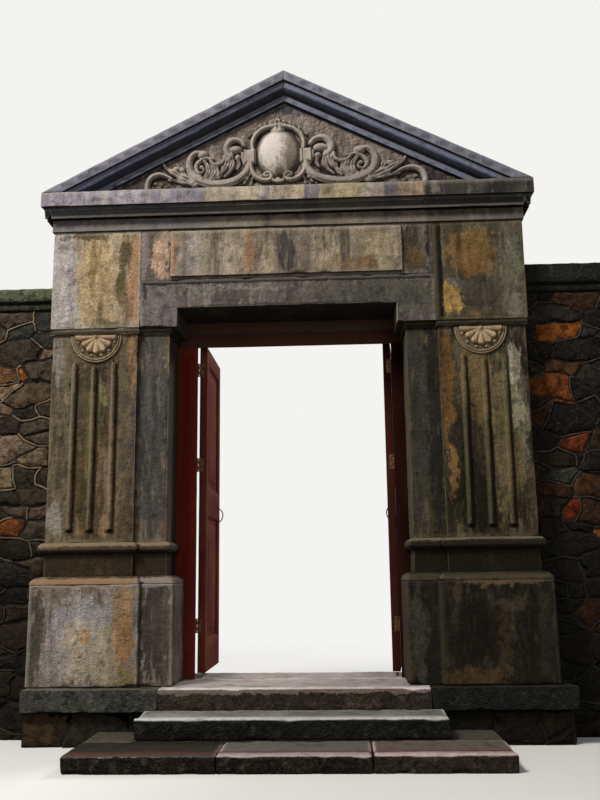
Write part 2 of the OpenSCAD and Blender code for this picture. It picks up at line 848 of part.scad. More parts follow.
// A bow handle: an arc of round bar that ends in two small roses
module pull_handle(side) {
    rose_r = 11;
    rose_t = 3;
    arc_r = ((handle_l / 2) ^ 2 + handle_reach ^ 2) / (2 * handle_reach);
    color("#7a6a4a")
    hung(side)
    translate([leaf_far - stile_w / 2, leaf_v[0], lock_z + handle_rise]) {
        intersection() {
            translate([0, arc_r - handle_reach, 0]) rotate([0, 90, 0])
                rotate_extrude() translate([arc_r, 0]) circle(handle_r);
            block([-handle_l, -handle_l, -handle_l], [handle_l, 0, handle_l]);
        }
        for (z = [-handle_l / 2, handle_l / 2])
            translate([0, 0, z]) rotate([90, 0, 0]) cylinder(h = rose_t, r = rose_r);
    }
}

footing(-1);  // left_footing
footing(1);  // right_footing
step_core();
plinth_course(-1);  // left_plinth_course
plinth_course(1);  // right_plinth_course
threshold();
middle_step();
bottom_step();
side_stones();
pedestal(-1);  // left_pedestal
pedestal(1);  // right_pedestal
pier_base(-1);  // left_pier_base
pier_base(1);  // right_pier_base
pier(-1);  // left_pier
pier(1);  // right_pier
rosettes();
lintel();
frieze_block(-1);  // left_frieze_block
frieze_block(1);  // right_frieze_block
frieze_panel();
plaque();
cornice();
gable_wall();
raking_cornice(-1);  // left_raking_cornice
raking_cornice(1);  // right_raking_cornice
cartouche();
scroll(-1);  // left_scroll
scroll(1);  // right_scroll
wall(-1, left_wall_h);  // left_wall
wall(1, right_wall_h);  // right_wall
coping(-1, left_wall_h, left_coping_h);  // left_coping
coping(1, right_wall_h, right_coping_h);  // right_coping
jamb(-1);  // left_jamb
jamb(1);  // right_jamb
door_head();
head_board();
frame_hinges();
leaf_frame(-1);  // left_leaf_frame
leaf_panels(-1);  // left_leaf_panels
leaf_hinges(-1);  // left_leaf_hinges
pull_handle(-1);  // left_pull_handle
leaf_frame(1);  // right_leaf_frame
leaf_panels(1);  // right_leaf_panels
leaf_hinges(1);  // right_leaf_hinges
pull_handle(1);  // right_pull_handle
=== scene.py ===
import json
import math
import random

import bmesh
import bpy
import numpy as np
from bpy.props import FloatProperty, FloatVectorProperty, IntProperty, PointerProperty
from mathutils import Matrix, Vector, noise


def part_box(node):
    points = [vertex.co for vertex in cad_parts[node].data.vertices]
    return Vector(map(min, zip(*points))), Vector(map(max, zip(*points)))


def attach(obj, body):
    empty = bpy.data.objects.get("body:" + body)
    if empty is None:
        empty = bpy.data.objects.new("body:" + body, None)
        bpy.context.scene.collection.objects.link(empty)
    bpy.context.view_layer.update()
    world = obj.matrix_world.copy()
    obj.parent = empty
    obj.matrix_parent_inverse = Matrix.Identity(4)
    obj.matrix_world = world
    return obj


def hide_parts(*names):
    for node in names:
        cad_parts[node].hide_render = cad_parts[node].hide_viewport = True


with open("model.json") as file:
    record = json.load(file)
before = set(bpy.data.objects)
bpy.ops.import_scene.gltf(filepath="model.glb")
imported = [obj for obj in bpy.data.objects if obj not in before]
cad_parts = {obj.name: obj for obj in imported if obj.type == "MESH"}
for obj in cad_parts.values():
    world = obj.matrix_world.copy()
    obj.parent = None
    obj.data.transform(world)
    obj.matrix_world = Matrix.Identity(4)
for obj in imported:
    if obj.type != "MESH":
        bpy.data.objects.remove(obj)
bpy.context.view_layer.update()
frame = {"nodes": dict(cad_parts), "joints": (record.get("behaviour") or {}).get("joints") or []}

bl_info = {
    "name": "Pedimented Garden Gateway",
    "version": (1, 0, 0),
    "blender": (4, 5, 0),
    "location": "View3D > Sidebar > Gateway",
    "description": "Weathered render, rubble, carving and painted doors of a garden gateway",
    "category": "Add Mesh",
}

GATEWAY, LEFT_LEAF, RIGHT_LEAF = "gateway", "left_leaf", "right_leaf"

# Places taken from the frame, in metres
GABLE_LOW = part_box("gable_wall")[0]
CORNICE_TOP = GABLE_LOW.z
MILLIMETRE = 0.001

# The turn of a surface, in radians, at which an arris or a nook begins, and how much more
# makes a full one
ARRIS_BEGINS, ARRIS_SPAN = 0.15, 0.3
NOOK_BEGINS, NOOK_SPAN = 0.25, 0.4
SHARP_TURN = math.radians(35)
STEEP_TURN = 0.6

# In metres: the strip of an arris that is rubbed, the edges long enough to have one, the
# coarsest cell of render, and how far the chips of a slab reach in from its edges
RUBBED_WIDTH = 0.011
LONG_EDGE = 0.2
RENDER_CELL = 0.1
CHIP_REACH = 0.03


# Small helpers for meshes

def linear(hex_colour):
    """A six-digit sRGB colour as linear red, green, blue and a full alpha."""
    channels = [int(hex_colour[i:i + 2], 16) / 255 for i in (1, 3, 5)]
    return [c / 12.92 if c <= 0.04045 else ((c + 0.055) / 1.055) ** 2.4 for c in channels] + [1.0]


def merged(node):
    """The mesh of a CAD node with its loose triangles joined and its flat faces made whole."""
    bm = bmesh.new()
    bm.from_mesh(frame["nodes"][node].data)
    bmesh.ops.remove_doubles(bm, verts=bm.verts, dist=1e-5)
    bmesh.ops.dissolve_limit(bm, angle_limit=math.radians(0.8), verts=bm.verts, edges=bm.edges)
    return bm


def placed(name, data):
    """A mesh, a lamp or a camera put in the scene as an object."""
    thing = bpy.data.objects.new(name, data)
    bpy.context.scene.collection.objects.link(thing)
    return thing


def coat(mesh, material):
    """Gives a mesh its one finish."""
    mesh.materials.clear()
    mesh.materials.append(material)


def place_mesh(mesh, name, material, body=GATEWAY, replaces=()):
    """Puts a mesh in the scene as a piece, with its finish, its body and the nodes that it
    stands for."""
    piece = placed(name, mesh)
    coat(mesh, material)
    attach(piece, body)
    if replaces:
        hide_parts(*replaces)


def finish_piece(bm, name, material, body=GATEWAY, replaces=(), sharp_angle=40):
    """Turns a bmesh into a finished piece that rides on its body."""
    mesh = bpy.data.meshes.new(name)
    bm.to_mesh(mesh)
    bm.free()
    mesh.set_sharp_from_angle(angle=math.radians(sharp_angle))
    place_mesh(mesh, name, material, body, replaces)


def modified_mesh(carrier):
    """The plain mesh that an object's modifiers make, with the object taken away."""
    graph = bpy.context.evaluated_depsgraph_get()
    result = bpy.data.meshes.new_from_object(carrier.evaluated_get(graph))
    bpy.data.objects.remove(carrier)
    return result


def weather(bm, lump, chip, seed):
    """Makes flat faces a little uneven and breaks the arrises. Each point keeps how much of
    an arris and how much of a nook it is, for the finishes to read."""
    bm.normal_update()
    arris = bm.verts.layers.float.new("arris")
    nook = bm.verts.layers.float.new("nook")
    shift = Vector((seed * 7.3, seed * 3.1, seed * 5.7))
    moves = []
    for v in bm.verts:
        bend = [e.calc_face_angle_signed(0) for e in v.link_edges if len(e.link_faces) == 2]
        edge = min(1, max(0, max(bend, default=0) - ARRIS_BEGINS) / ARRIS_SPAN)
        v[arris] = edge
        v[nook] = min(1, max(0, -min(bend, default=0) - NOOK_BEGINS) / NOOK_SPAN)
        p = v.co * 5 + shift
        swell = noise.noise(p) + 0.5 * noise.noise(p * 3.1)
        bite = edge * max(0, noise.noise(v.co * 9 + shift) * 1.8 - 0.25)
        moves.append(v.normal * (lump * swell - chip * bite))
    for v, move in zip(bm.verts, moves):
        v.co += move


def bevel_arrises(bm, width):
    """Rounds the sharp outer edges."""
    sharp = [e for e in bm.edges if len(e.link_faces) == 2
             and e.calc_face_angle(0) > SHARP_TURN]
    bmesh.ops.bevel(bm, geom=sharp, offset=width, offset_type="OFFSET", segments=2,
                    profile=0.5, affect="EDGES", clamp_overlap=True)


def cut_across(bm, axis, at):
    """Cuts every face along a plane that stands across an axis."""
    normal = Vector([1.0 if i == axis else 0.0 for i in range(3)])
    bmesh.ops.bisect_plane(bm, geom=bm.verts[:] + bm.edges[:] + bm.faces[:], dist=1e-6,
                           plane_co=normal * at, plane_no=normal)


def cut_into_cells(bm, low, high, cell):
    """Cuts every face along a grid of planes, so that it can follow uneven plaster."""
    for axis in range(3):
        span = high[axis] - low[axis]
        count = int(span / cell)
        for i in range(1, count + 1):
            cut_across(bm, axis, low[axis] + i * span / (count + 1))


def cut_beside_edges(bm, reach):
    """Cuts the faces a little way from each inner corner and each long sharp edge, so that
    the rubbed arris and the painted shade with soot in the corner stay narrow."""
    bm.normal_update()
    planes = set()
    for e in bm.edges:
        turn = e.calc_face_angle_signed(0) if len(e.link_faces) == 2 else 0
        if turn < -NOOK_BEGINS or (turn > STEEP_TURN and e.calc_length() > LONG_EDGE):
            a, b = (v.co for v in e.verts)
            planes |= {(axis, round(a[axis], 3)) for axis in range(3)
                       if abs(a[axis] - b[axis]) < 1e-4}
    for axis, at in sorted(planes):
        for away in (-reach, reach):
            cut_across(bm, axis, at + away)


def worn(node, material, arris=0.007, cell=0.045, lump=0.0018, chip=0.006, seed=1,
         body=GATEWAY):
    """Stands for a CAD node with a copy whose arrises are rounded and chipped and whose
    faces are a little uneven."""
    bm = merged(node)
    if arris:
        bevel_arrises(bm, arris)
    low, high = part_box(node)
    cut_into_cells(bm, low, high, cell)
    if cell < RENDER_CELL:
        cut_beside_edges(bm, RUBBED_WIDTH)
    weather(bm, lump, chip, seed)
    finish_piece(bm, node + "_worn", material, body, (node,))


def solids(bm):
    """A bmesh of its own for each solid."""
    bm.faces.ensure_lookup_table()
    left = set(range(len(bm.faces)))
    while left:
        reached, front = set(), {min(left)}
        while front:
            reached |= front
            front = {f.index for i in front for e in bm.faces[i].edges
                     for f in e.link_faces} - reached
        left -= reached
        part = bm.copy()
        bmesh.ops.delete(part, geom=[f for f in part.faces if f.index not in reached],
                         context="FACES")
        yield part


def even_mesh(bm, voxel):
    """A mesh of even small squares over the same solid."""
    mesh = bpy.data.meshes.new("blank")
    bm.to_mesh(mesh)
    bm.free()
    blank = placed("blank", mesh)
    remesh = blank.modifiers.new("even mesh", "REMESH")
    remesh.mode = "VOXEL"
    remesh.voxel_size = voxel
    return modified_mesh(blank)


def hewn(node, material, voxel=0.013, lump=0.004, chip=0.016, seed=1, flake=1.5):
    """Stands for stone slabs with rough-hewn copies: each stone a fine even mesh whose
    arrises are chipped away in flakes."""
    whole = merged(node)
    bm = bmesh.new()
    arris = bm.verts.layers.float.new("arris")
    shift = Vector((seed * 4.1, seed * 8.3, seed * 2.9))
    for stone in solids(whole):
        low = [min(v.co[i] for v in stone.verts) for i in range(3)]
        high = [max(v.co[i] for v in stone.verts) for i in range(3)]
        even = even_mesh(stone, voxel)
        done = set(bm.verts)
        bm.from_mesh(even)
        bpy.data.meshes.remove(even)
        bm.normal_update()
        moves = []
        for v in bm.verts:
            if v in done:
                continue
            gaps = sorted(min(v.co[i] - low[i], high[i] - v.co[i]) for i in range(3))
            edge = min(1, max(0, 1 - gaps[1] / CHIP_REACH))
            v[arris] = edge
            p = v.co * 7 + shift
            swell = noise.noise(p * 0.5) + 0.5 * noise.noise(p * 2.7) + 0.35 * noise.noise(p * 7)
            loss = edge ** flake * max(0, noise.noise(v.co * 8 + shift) * 1.8 - 0.1)
            moves.append((v, v.normal * (lump * swell - chip * loss)))
        for v, move in moves:
            v.co += move
            v.co.z = max(v.co.z, 0.0)
    whole.free()
    finish_piece(bm, node + "_hewn", material, GATEWAY, (node,), 55)


# Small helpers for materials

def add(tree, kind, inputs=None, **settings):
    """Adds a node with its settings, and gives its sockets another socket, a value or a
    colour written as hex."""
    node = tree.nodes.new(kind)
    for key, value in settings.items():
        setattr(node, key, value)
    for key, value in (inputs or {}).items():
        if isinstance(value, bpy.types.NodeSocket):
            tree.links.new(value, node.inputs[key])
        elif isinstance(value, str) and value.startswith("#"):
            node.inputs[key].default_value = linear(value)
        else:
            node.inputs[key].default_value = value
    return node


def new_group(name, kind, inputs, output):
    """An empty node group with its named inputs and its output, and the inputs' sockets."""
    group = bpy.data.node_groups.new(name, kind)
    for way, sockets in (("INPUT", inputs), ("OUTPUT", (output,))):
        for label, value in sockets:
            group.interface.new_socket(label, in_out=way, socket_type="NodeSocket" + value)
    return group, add(group, "NodeGroupInput").outputs


def start_finish(name, roughness, metallic=0.0, specular=0.3):
    """A new material with its shader and the Object coordinates that its patterns read."""
    material = bpy.data.materials.new(name)
    material.use_nodes = True
    tree = material.node_tree
    tree.nodes.clear()
    shader = add(tree, "ShaderNodeBsdfPrincipled", {"Roughness": roughness, "Metallic": metallic})
    if not metallic:
        shader.inputs["Specular IOR Level"].default_value = specular
    add(tree, "ShaderNodeOutputMaterial", {"Surface": shader.outputs[0]})
    place = add(tree, "ShaderNodeTexCoord").outputs["Object"]
    return material, tree, shader, place


def laid_where(tree, value, low, high, amount, under, over, ease="SMOOTHSTEP"):
    """A colour laid over another by a value: not at all at low, and by the amount at high."""
    share = add(tree, "ShaderNodeMapRange", {"Value": value, "From Min": low, "From Max": high,
                                             "To Max": amount}, interpolation_type=ease)
    return add(tree, "ShaderNodeMix", {0: share.outputs[0], 6: under, 7: over},
               data_type="RGBA").outputs[2]


def blotches(tree, under, colour, place, size, low, high, detail=4.0, amount=1.0):
    """Lays a colour over another in blotches of about one size, in metres. The blotches
    start where the noise passes low and are full at high."""
    field = add(tree, "ShaderNodeTexNoise", {"Vector": place, "Scale": 1 / size, "Detail": detail,
                                             "Roughness": 0.6})
    return laid_where(tree, field.outputs["Fac"], low, high, amount, under, colour, "LINEAR")


def stain_group():
    """A node group that lays one soft, speckled stain of a set place and size over a colour."""
    name = "ragged stain"
    if name in bpy.data.node_groups:
        return bpy.data.node_groups[name]
    sockets = (("Under", "Color"), ("Place", "Vector"), ("Grain", "Float"), ("Centre", "Vector"),
               ("Half", "Vector"), ("Colour", "Color"), ("Amount", "Float"), ("Soft", "Float"))
    group, given = new_group(name, "ShaderNodeTree", sockets, ("Result", "Color"))
    away = add(group, "ShaderNodeVectorMath", {0: given["Place"], 1: given["Centre"]},
               operation="SUBTRACT")
    share = add(group, "ShaderNodeVectorMath", {0: away.outputs[0], 1: given["Half"]},
                operation="DIVIDE")
    reach = add(group, "ShaderNodeVectorMath", {0: share.outputs[0]}, operation="LENGTH")
    speckled, outer, inner = (
        add(group, "ShaderNodeMath", {0: given["Soft"], 1: factor, 2: start},
            operation="MULTIPLY_ADD").outputs[0]
        for factor, start in ((given["Grain"], reach.outputs["Value"]), (0.45, 1.0), (-0.45, 1.0)))
    result = laid_where(group, speckled, outer, inner, given["Amount"], given["Under"],
                        given["Colour"])
    add(group, "NodeGroupOutput", {0: result})
    return group


def ragged(tree, place, reach, size):
    """Coordinates pushed about by noise, so that a stain's outline is ragged."""
    field = add(tree, "ShaderNodeTexNoise", {"Vector": place, "Scale": 1 / size, "Detail": 5.0,
                                             "Roughness": 0.65})
    centred = add(tree, "ShaderNodeVectorMath", {0: field.outputs["Color"], 1: (0.5, 0.5, 0.5)},
                  operation="SUBTRACT")
    return add(tree, "ShaderNodeVectorMath", {0: centred.outputs[0],
                                              1: (reach, reach, reach * 1.6), 2: place},
               operation="MULTIPLY_ADD").outputs[0]


# How far a stain reaches to the front and back, in metres: past every face, or over one only
ALL_FACES, ONE_FACE = 9.0, 0.25


def lay_stains(tree, under, place, stains, soft=0.45, stray=0.13):
    """Lays listed stains, each (x, z, half width, half height, colour, amount), and then
    the y of the face it lies on where the other sides have none."""
    if not stains:
        return under
    edge = ragged(tree, place, stray, 0.16)
    tall = add(tree, "ShaderNodeMapping", {"Vector": place, "Scale": (1, 1, 0.4)})
    field = add(tree, "ShaderNodeTexNoise", {"Vector": tall.outputs[0], "Scale": 34.0,
                                             "Detail": 6.0, "Roughness": 0.7})
    grain = add(tree, "ShaderNodeMapRange", {"Value": field.outputs["Fac"], "From Min": 0.3,
                                             "From Max": 0.7, "To Min": -1.0, "To Max": 1.0},
                clamp=False).outputs[0]
    for x, z, half_x, half_z, colour, amount, *face in stains:
        centre_y, half_y = (face[0], ONE_FACE) if face else (0.0, ALL_FACES)
        under = add(tree, "ShaderNodeGroup",
                    {"Under": under, "Place": edge, "Grain": grain, "Centre": (x, centre_y, z),
                     "Half": (half_x, half_y, half_z), "Colour": colour, "Amount": amount,
                     "Soft": soft}, node_tree=stain_group()).outputs[0]
    return under


def shaded(tree, colour, place, size, dark, light, detail=8.0):
    """A colour made darker and lighter in patches by noise of one size, in metres."""
    field = add(tree, "ShaderNodeTexNoise", {"Vector": place, "Scale": 1 / size,
                                             "Detail": detail, "Roughness": 0.7})
    level = add(tree, "ShaderNodeMapRange", {"Value": field.outputs["Fac"], "From Min": 0.3,
                                             "From Max": 0.7, "To Min": dark, "To Max": light})
    return add(tree, "ShaderNodeHueSaturation", {"Value": level.outputs[0],
                                                 "Color": colour}).outputs[0]


def surface_turn(tree):
    """How far the surface faces along x, y and z."""
    outward = add(tree, "ShaderNodeTexCoord").outputs["Normal"]
    return add(tree, "ShaderNodeSeparateXYZ", {0: outward}).outputs


def soot_and_painted_shade(tree, under, colour, underside_shade=0.8, nook_shade=0.9):
    """Painted shade with some soot: a dark colour laid on faces that look down, where shade falls
    under ledges, and in each nook.
    """
    dark = laid_where(tree, surface_turn(tree)[2], -0.15, -0.6, underside_shade, under, colour)
    nook = add(tree, "ShaderNodeAttribute", attribute_name="nook").outputs["Fac"]
    return laid_where(tree, nook, 0.15, 0.9, nook_shade, dark, colour)


def painted_side_light(tree, under, dark, pale):
    """Painted light and shade by the way a flank faces: flanks turned to +X are painted darker, as
    shade, and those turned to -X paler, as light from the left.
    """
    turn = surface_turn(tree)[0]
    under = laid_where(tree, turn, 0.15, 0.75, 0.6, under, dark)
    return laid_where(tree, turn, -0.1, -0.6, 0.35, under, pale)


def rubbed(tree, under, colour, low, high, amount):
    """Another colour on the arrises, where they are rubbed."""
    arris = add(tree, "ShaderNodeAttribute", attribute_name="arris").outputs["Fac"]
    return laid_where(tree, arris, low, high, amount, under, colour)


def end_finish(tree, shader, colour, place, layers, distance):
    """Gives the shader its colour, and bump from a sum of noises, each (size in metres,
    share)."""
    tree.links.new(colour, shader.inputs["Base Color"])
    height = 0.0
    for size, share in layers:
        field = add(tree, "ShaderNodeTexNoise", {"Vector": place, "Scale": 1 / size,
                                                 "Detail": 3.0, "Roughness": 0.6})
        height = add(tree, "ShaderNodeMath", {0: field.outputs["Fac"], 1: share, 2: height},
                     operation="MULTIPLY_ADD").outputs[0]
    bump = add(tree, "ShaderNodeBump", {"Height": height, "Strength": 1.0,
                                        "Distance": distance})
    tree.links.new(bump.outputs[0], shader.inputs["Normal"])


# Finishes

# Where the noise lays the wash on render, and how much of it: on one plain body, and on
# stones that already differ
WASH_ON_PLAIN = (0.46, 0.56, 0.85)
WASH_ON_BLOCKS = (0.50, 0.60, 0.25)


def render_tones(tree, place, body, wash, pale, dark, stains, streaks, moss):
    """The colours of old render: two washes brushed on in tall patches, pale bare spots,
    stains, dark and pale runs of rain, float marks, uneven dirt and moss specks."""
    tall, runs, thin_runs, level = (
        add(tree, "ShaderNodeMapping", {"Vector": place, "Scale": scale,
                                        "Location": shift}).outputs[0]
        for scale, shift in (((1, 1, 0.35), (0, 0, 0)), ((1, 1, 0.12), (0, 0, 0)),
                             ((1, 1, 0.16), (3, 1, 5)), ((0.25, 0.25, 1), (0, 0, 0))))
    low, high, amount = (WASH_ON_BLOCKS if isinstance(body, bpy.types.NodeSocket)
                         else WASH_ON_PLAIN)
    colour = blotches(tree, body, wash, tall, 0.26, low, high, 9.0, amount)
    colour = blotches(tree, colour, pale, tall, 0.10, 0.54, 0.61, 8.0, 0.45)
    colour = lay_stains(tree, colour, place, stains)
    colour = blotches(tree, colour, dark, runs, 0.08, 0.53, 0.68, 8.0, streaks)
    colour = blotches(tree, colour, pale, thin_runs, 0.034, 0.56, 0.68, 7.0, 0.32)
    colour = shaded(tree, colour, level, 0.03, 0.82, 1.18)
    colour = blotches(tree, colour, dark, place, 0.08, 0.54, 0.66, 10.0, 0.5)
    colour = shaded(tree, colour, tall, 0.06, 0.6, 1.42)
    colour = shaded(tree, colour, place, 0.012, 0.78, 1.24, 2.0)
    return blotches(tree, colour, "#1a170f", place, 0.014, 0.60, 0.67, 4.0, moss)


def weathered_render(name, body, wash, pale, dark, stains=(), streaks=0.6, moss=0.6, pits=1.0,
                     dips=(), nook_shade=0.9):
    """Lime and cement render, floated on brick and rained on for decades. The pits and grains
    of its bump are drawn 20 to 60 mm wide, coarser than sand, so that they show from where
    the photo was taken."""
    material, tree, shader, place = start_finish(name, 0.85, specular=0.1)
    colour = render_tones(tree, place, body, wash, pale, dark, stains, streaks, moss)
    colour = lay_stains(tree, colour, place, dips, 0.35, 0.02)
    colour = rubbed(tree, colour, pale, 0.05, 0.7, 0.3)
    # Painted shade on flanks facing +X and painted light on flanks facing -X
    colour = painted_side_light(tree, colour, dark, pale)
    # Painted shade, with some soot, under ledges and in inner corners
    colour = soot_and_painted_shade(tree, colour, "#15130e", nook_shade=nook_shade)
    end_finish(tree, shader, colour, place, ((0.011, 0.6), (0.03, 0.9 * pits), (0.12, 1.5)), 0.007)
    return material


# Half the width over which one band of a cornice turns into the next, in metres
BAND_BLEND = 0.003


def banded_render(name, coordinate, stops, body, wash, pale, dark, blocks=(), streaks=0.3):
    """Render of a moulded cornice, whose members weather apart: a pale slab on top that the
    rain washes, a hollow under it painted dark as shade, and a dull fascia. The coordinate is
    (share of x either side of the middle, share of z), measured in metres; each stop is (from, to,
    colour, how much of it). The blocks are (from x, to x, colour) of the stones in the
    slab."""
    material, tree, shader, place = start_finish(name, 0.75, specular=0.08)
    blocks = [((low + high) / 2, 4.0, (high - low) / 2, 9.0, tint, 0.93)
              for low, high, tint in blocks]
    under = lay_stains(tree, body, place, blocks, 0.12, 0.03)
    colour = render_tones(tree, place, under, wash, pale, dark, (), streaks, 0.5)
    parts = add(tree, "ShaderNodeSeparateXYZ", {0: place}).outputs
    level = add(tree, "ShaderNodeMath", {0: parts[0]}, operation="ABSOLUTE")
    level = add(tree, "ShaderNodeMath", {0: level.outputs[0], 1: coordinate[0]},
                operation="MULTIPLY")
    level = add(tree, "ShaderNodeMath", {0: parts[2], 1: coordinate[1], 2: level.outputs[0]},
                operation="MULTIPLY_ADD").outputs[0]
    for low, high, tint, amount in stops:
        rise, fall = (
            add(tree, "ShaderNodeMapRange", {"Value": level, "From Min": edge - blend,
                                             "From Max": edge + blend, "To Max": most},
                interpolation_type="SMOOTHSTEP").outputs[0]
            for edge, blend, most in ((low, BAND_BLEND, 1.0), (high, -BAND_BLEND, amount)))
        share = add(tree, "ShaderNodeMath", {0: rise, 1: fall}, operation="MULTIPLY")
        colour = add(tree, "ShaderNodeMix", {0: share.outputs[0], 6: colour, 7: tint},
                     data_type="RGBA").outputs[2]
    colour = blotches(tree, colour, dark, place, 0.06, 0.52, 0.72, 7.0, 0.5)
    colour = rubbed(tree, colour, pale, 0.05, 0.7, 0.3)
    # Painted shade, with some soot, under ledges and in inner corners
    colour = soot_and_painted_shade(tree, colour, "#100f0d")
    end_finish(tree, shader, colour, place, ((0.012, 0.5), (0.035, 0.8), (0.12, 1.2)), 0.006)
    return material


def dressed_granite(name, body, vein, pale, dark, tops, front, stains=(), top_stains=(),
                    front_sheen_stains=(), nosing=None, line_y=None, front_y=None):
    """Granite slabs dressed with a point: sides pecked about 15 mm apart, dark with damp and
    with painted shade; tops paler, rubbed by feet and weather and painted lighter as lit from
    above, most of all along the front edge, where a painted highlight and sheen lies over the
    wear. The nosing is (height, depth, colour, raggedness) of the broken edge over the riser, and
    line_y is where a thin red painted line runs along a top."""
    material, tree, shader, place = start_finish(name, 0.6, specular=0.07)
    parts = add(tree, "ShaderNodeSeparateXYZ", {0: place}).outputs
    colour = blotches(tree, body, vein, place, 0.25, 0.46, 0.56, 8.0, 0.9)
    colour = lay_stains(tree, colour, place, stains, 0.3, 0.1)
    colour = blotches(tree, colour, pale, place, 0.06, 0.55, 0.68, 9.0, 0.55)
    colour = blotches(tree, colour, dark, place, 0.05, 0.50, 0.64, 9.0, 0.75)
    colour = blotches(tree, colour, pale, place, 0.011, 0.60, 0.70, 2.0, 0.55)
    colour = shaded(tree, colour, place, 0.02, 0.6, 1.4)
    if nosing:
        height, depth, tint, raggedness = nosing
        broken = add(tree, "ShaderNodeSeparateXYZ", {0: ragged(tree, place, raggedness, 0.07)})
        colour = laid_where(tree, broken.outputs[2], height - depth - 0.004,
                            height - depth + 0.004, 0.85, colour, tint)
    top = blotches(tree, tops, pale, place, 0.3, 0.45, 0.65, 8.0, 0.55)
    top = lay_stains(tree, top, place, top_stains, 0.05, 0.0)
    # The front edge of a top is paler: wear from feet with a painted highlight and sheen, along
    # the arris and fading back from the front
    edge = lay_stains(tree, front, place, front_sheen_stains, 0.05, 0.0)
    top = rubbed(tree, top, edge, 0.0, 0.8, 0.9)
    if front_y is not None:
        top = laid_where(tree, parts[1], front_y + 0.12, front_y + 0.02, 0.8, top, edge)
    top = blotches(tree, top, dark, place, 0.12, 0.52, 0.70, 9.0, 0.5)
    top = shaded(tree, top, place, 0.03, 0.75, 1.25)
    if line_y is not None:
        offset = add(tree, "ShaderNodeMath", {0: parts[1], 1: line_y}, operation="SUBTRACT")
        offset = add(tree, "ShaderNodeMath", {0: offset.outputs[0]}, operation="ABSOLUTE")
        top = laid_where(tree, offset.outputs[0], 0.019, 0.013, 0.85, top, "#5e1d1a")
    # Faces that look up take the paler top colours; the dark sides are partly painted shade
    colour = laid_where(tree, surface_turn(tree)[2], 0.35, 0.8, 1.0, colour, top)
    # Painted shade, with some soot, under ledges and in inner corners
    colour = soot_and_painted_shade(tree, colour, "#0b0a07", 0.95, 0.6)
    end_finish(tree, shader, colour, place, ((0.014, 1.0), (0.045, 1.3)), 0.012)
    return material


def damp_and_shaded_foot(tree, under, place):
    """The foot of a wall painted darker, for damp and as painted shade, growing lighter towards
    the height of a head.
    """
    level = add(tree, "ShaderNodeSeparateXYZ", {0: place}).outputs[2]
    return laid_where(tree, level, 1.75, 1.05, 0.88, under, "#0c0a06")


def field_stone(name):
    """Split field stones laid as rubble: each keeps its own colour, from iron-rich orange to
    grey-green, with grain, lichen specks and dirt in the hollows."""
    material, tree, shader, place = start_finish(name, 0.6, specular=0.08)
    own = add(tree, "ShaderNodeAttribute", attribute_name="stone").outputs["Color"]
    darker = add(tree, "ShaderNodeMix", {0: 1.0, 6: own, 7: "#8c857c"},
                 data_type="RGBA", blend_type="MULTIPLY").outputs[2]
    colour = blotches(tree, own, darker, place, 0.06, 0.42, 0.62, 8.0, 0.95)
    colour = blotches(tree, colour, "#100e09", place, 0.05, 0.5, 0.68, 8.0, 0.85)
    colour = blotches(tree, colour, "#6d6454", place, 0.016, 0.60, 0.70, 4.0, 0.45)
    colour = shaded(tree, colour, place, 0.05, 0.45, 1.55)
    colour = damp_and_shaded_foot(tree, colour, place)
    end_finish(tree, shader, colour, place, ((0.01, 0.6), (0.04, 1.6)), 0.010)
    return material


def lime_mortar(name, body, dark):
    """Lime mortar struck as a raised ribbon over the joints: pale, sandy, dirty at the sides."""
    material, tree, shader, place = start_finish(name, 0.95)
    colour = blotches(tree, body, dark, place, 0.12, 0.45, 0.62, 5.0, 0.9)
    colour = blotches(tree, colour, "#8d8069", place, 0.03, 0.6, 0.7, 4.0, 0.5)
    colour = blotches(tree, colour, "#16130d", place, 0.05, 0.52, 0.7, 6.0, 0.8)
    colour = damp_and_shaded_foot(tree, colour, place)
    end_finish(tree, shader, colour, place, ((0.012, 0.8), (0.03, 0.8)), 0.004)
    return material


def oxblood_paint(name, fresh, faded, grain_axis=2, bare=1.0):
    """Oxblood oil paint brushed on softwood long ago: faded and dusty where rain reaches it,
    with the grain telegraphing through and chips down to dark primer on the arrises. Bare is
    how much pale wood and worn edge shows."""
    material, tree, shader, place = start_finish(name, 0.8, specular=0.02)
    along = [1.0, 1.0, 1.0]
    along[grain_axis] = 0.05
    grain = add(tree, "ShaderNodeMapping", {"Vector": place, "Scale": along}).outputs[0]
    colour = blotches(tree, fresh, faded, place, 0.5, 0.4, 0.62, 5.0, 0.85)
    colour = blotches(tree, colour, faded, grain, 0.02, 0.5, 0.66, 4.0, 0.45)
    colour = blotches(tree, colour, "#6b5443", grain, 0.05, 0.62, 0.72, 5.0, 0.4 * bare)
    colour = blotches(tree, colour, "#120604", place, 0.06, 0.58, 0.72, 6.0, 0.6)
    arris = add(tree, "ShaderNodeAttribute", attribute_name="arris").outputs["Fac"]
    share = add(tree, "ShaderNodeMath", {0: arris, 1: 0.3 * bare}, operation="MULTIPLY")
    colour = add(tree, "ShaderNodeMix", {0: share.outputs[0], 6: colour, 7: "#7a4a38"},
                 data_type="RGBA").outputs[2]
    end_finish(tree, shader, colour, grain, ((0.006, 0.7), (0.02, 0.6)), 0.0015)
    return material


def dull_brass(name):
    """Cast brass hinges and handles gone brown with paint and weather, bright where rubbed."""
    material, tree, shader, place = start_finish(name, 0.45, metallic=0.6)
    colour = blotches(tree, "#70522f", "#351a12", place, 0.02, 0.36, 0.56, 4.0)
    colour = blotches(tree, colour, "#b59a6c", place, 0.008, 0.6, 0.7, 2.0, 0.6)
    end_finish(tree, shader, colour, place, ((0.004, 0.8),), 0.0006)
    return material


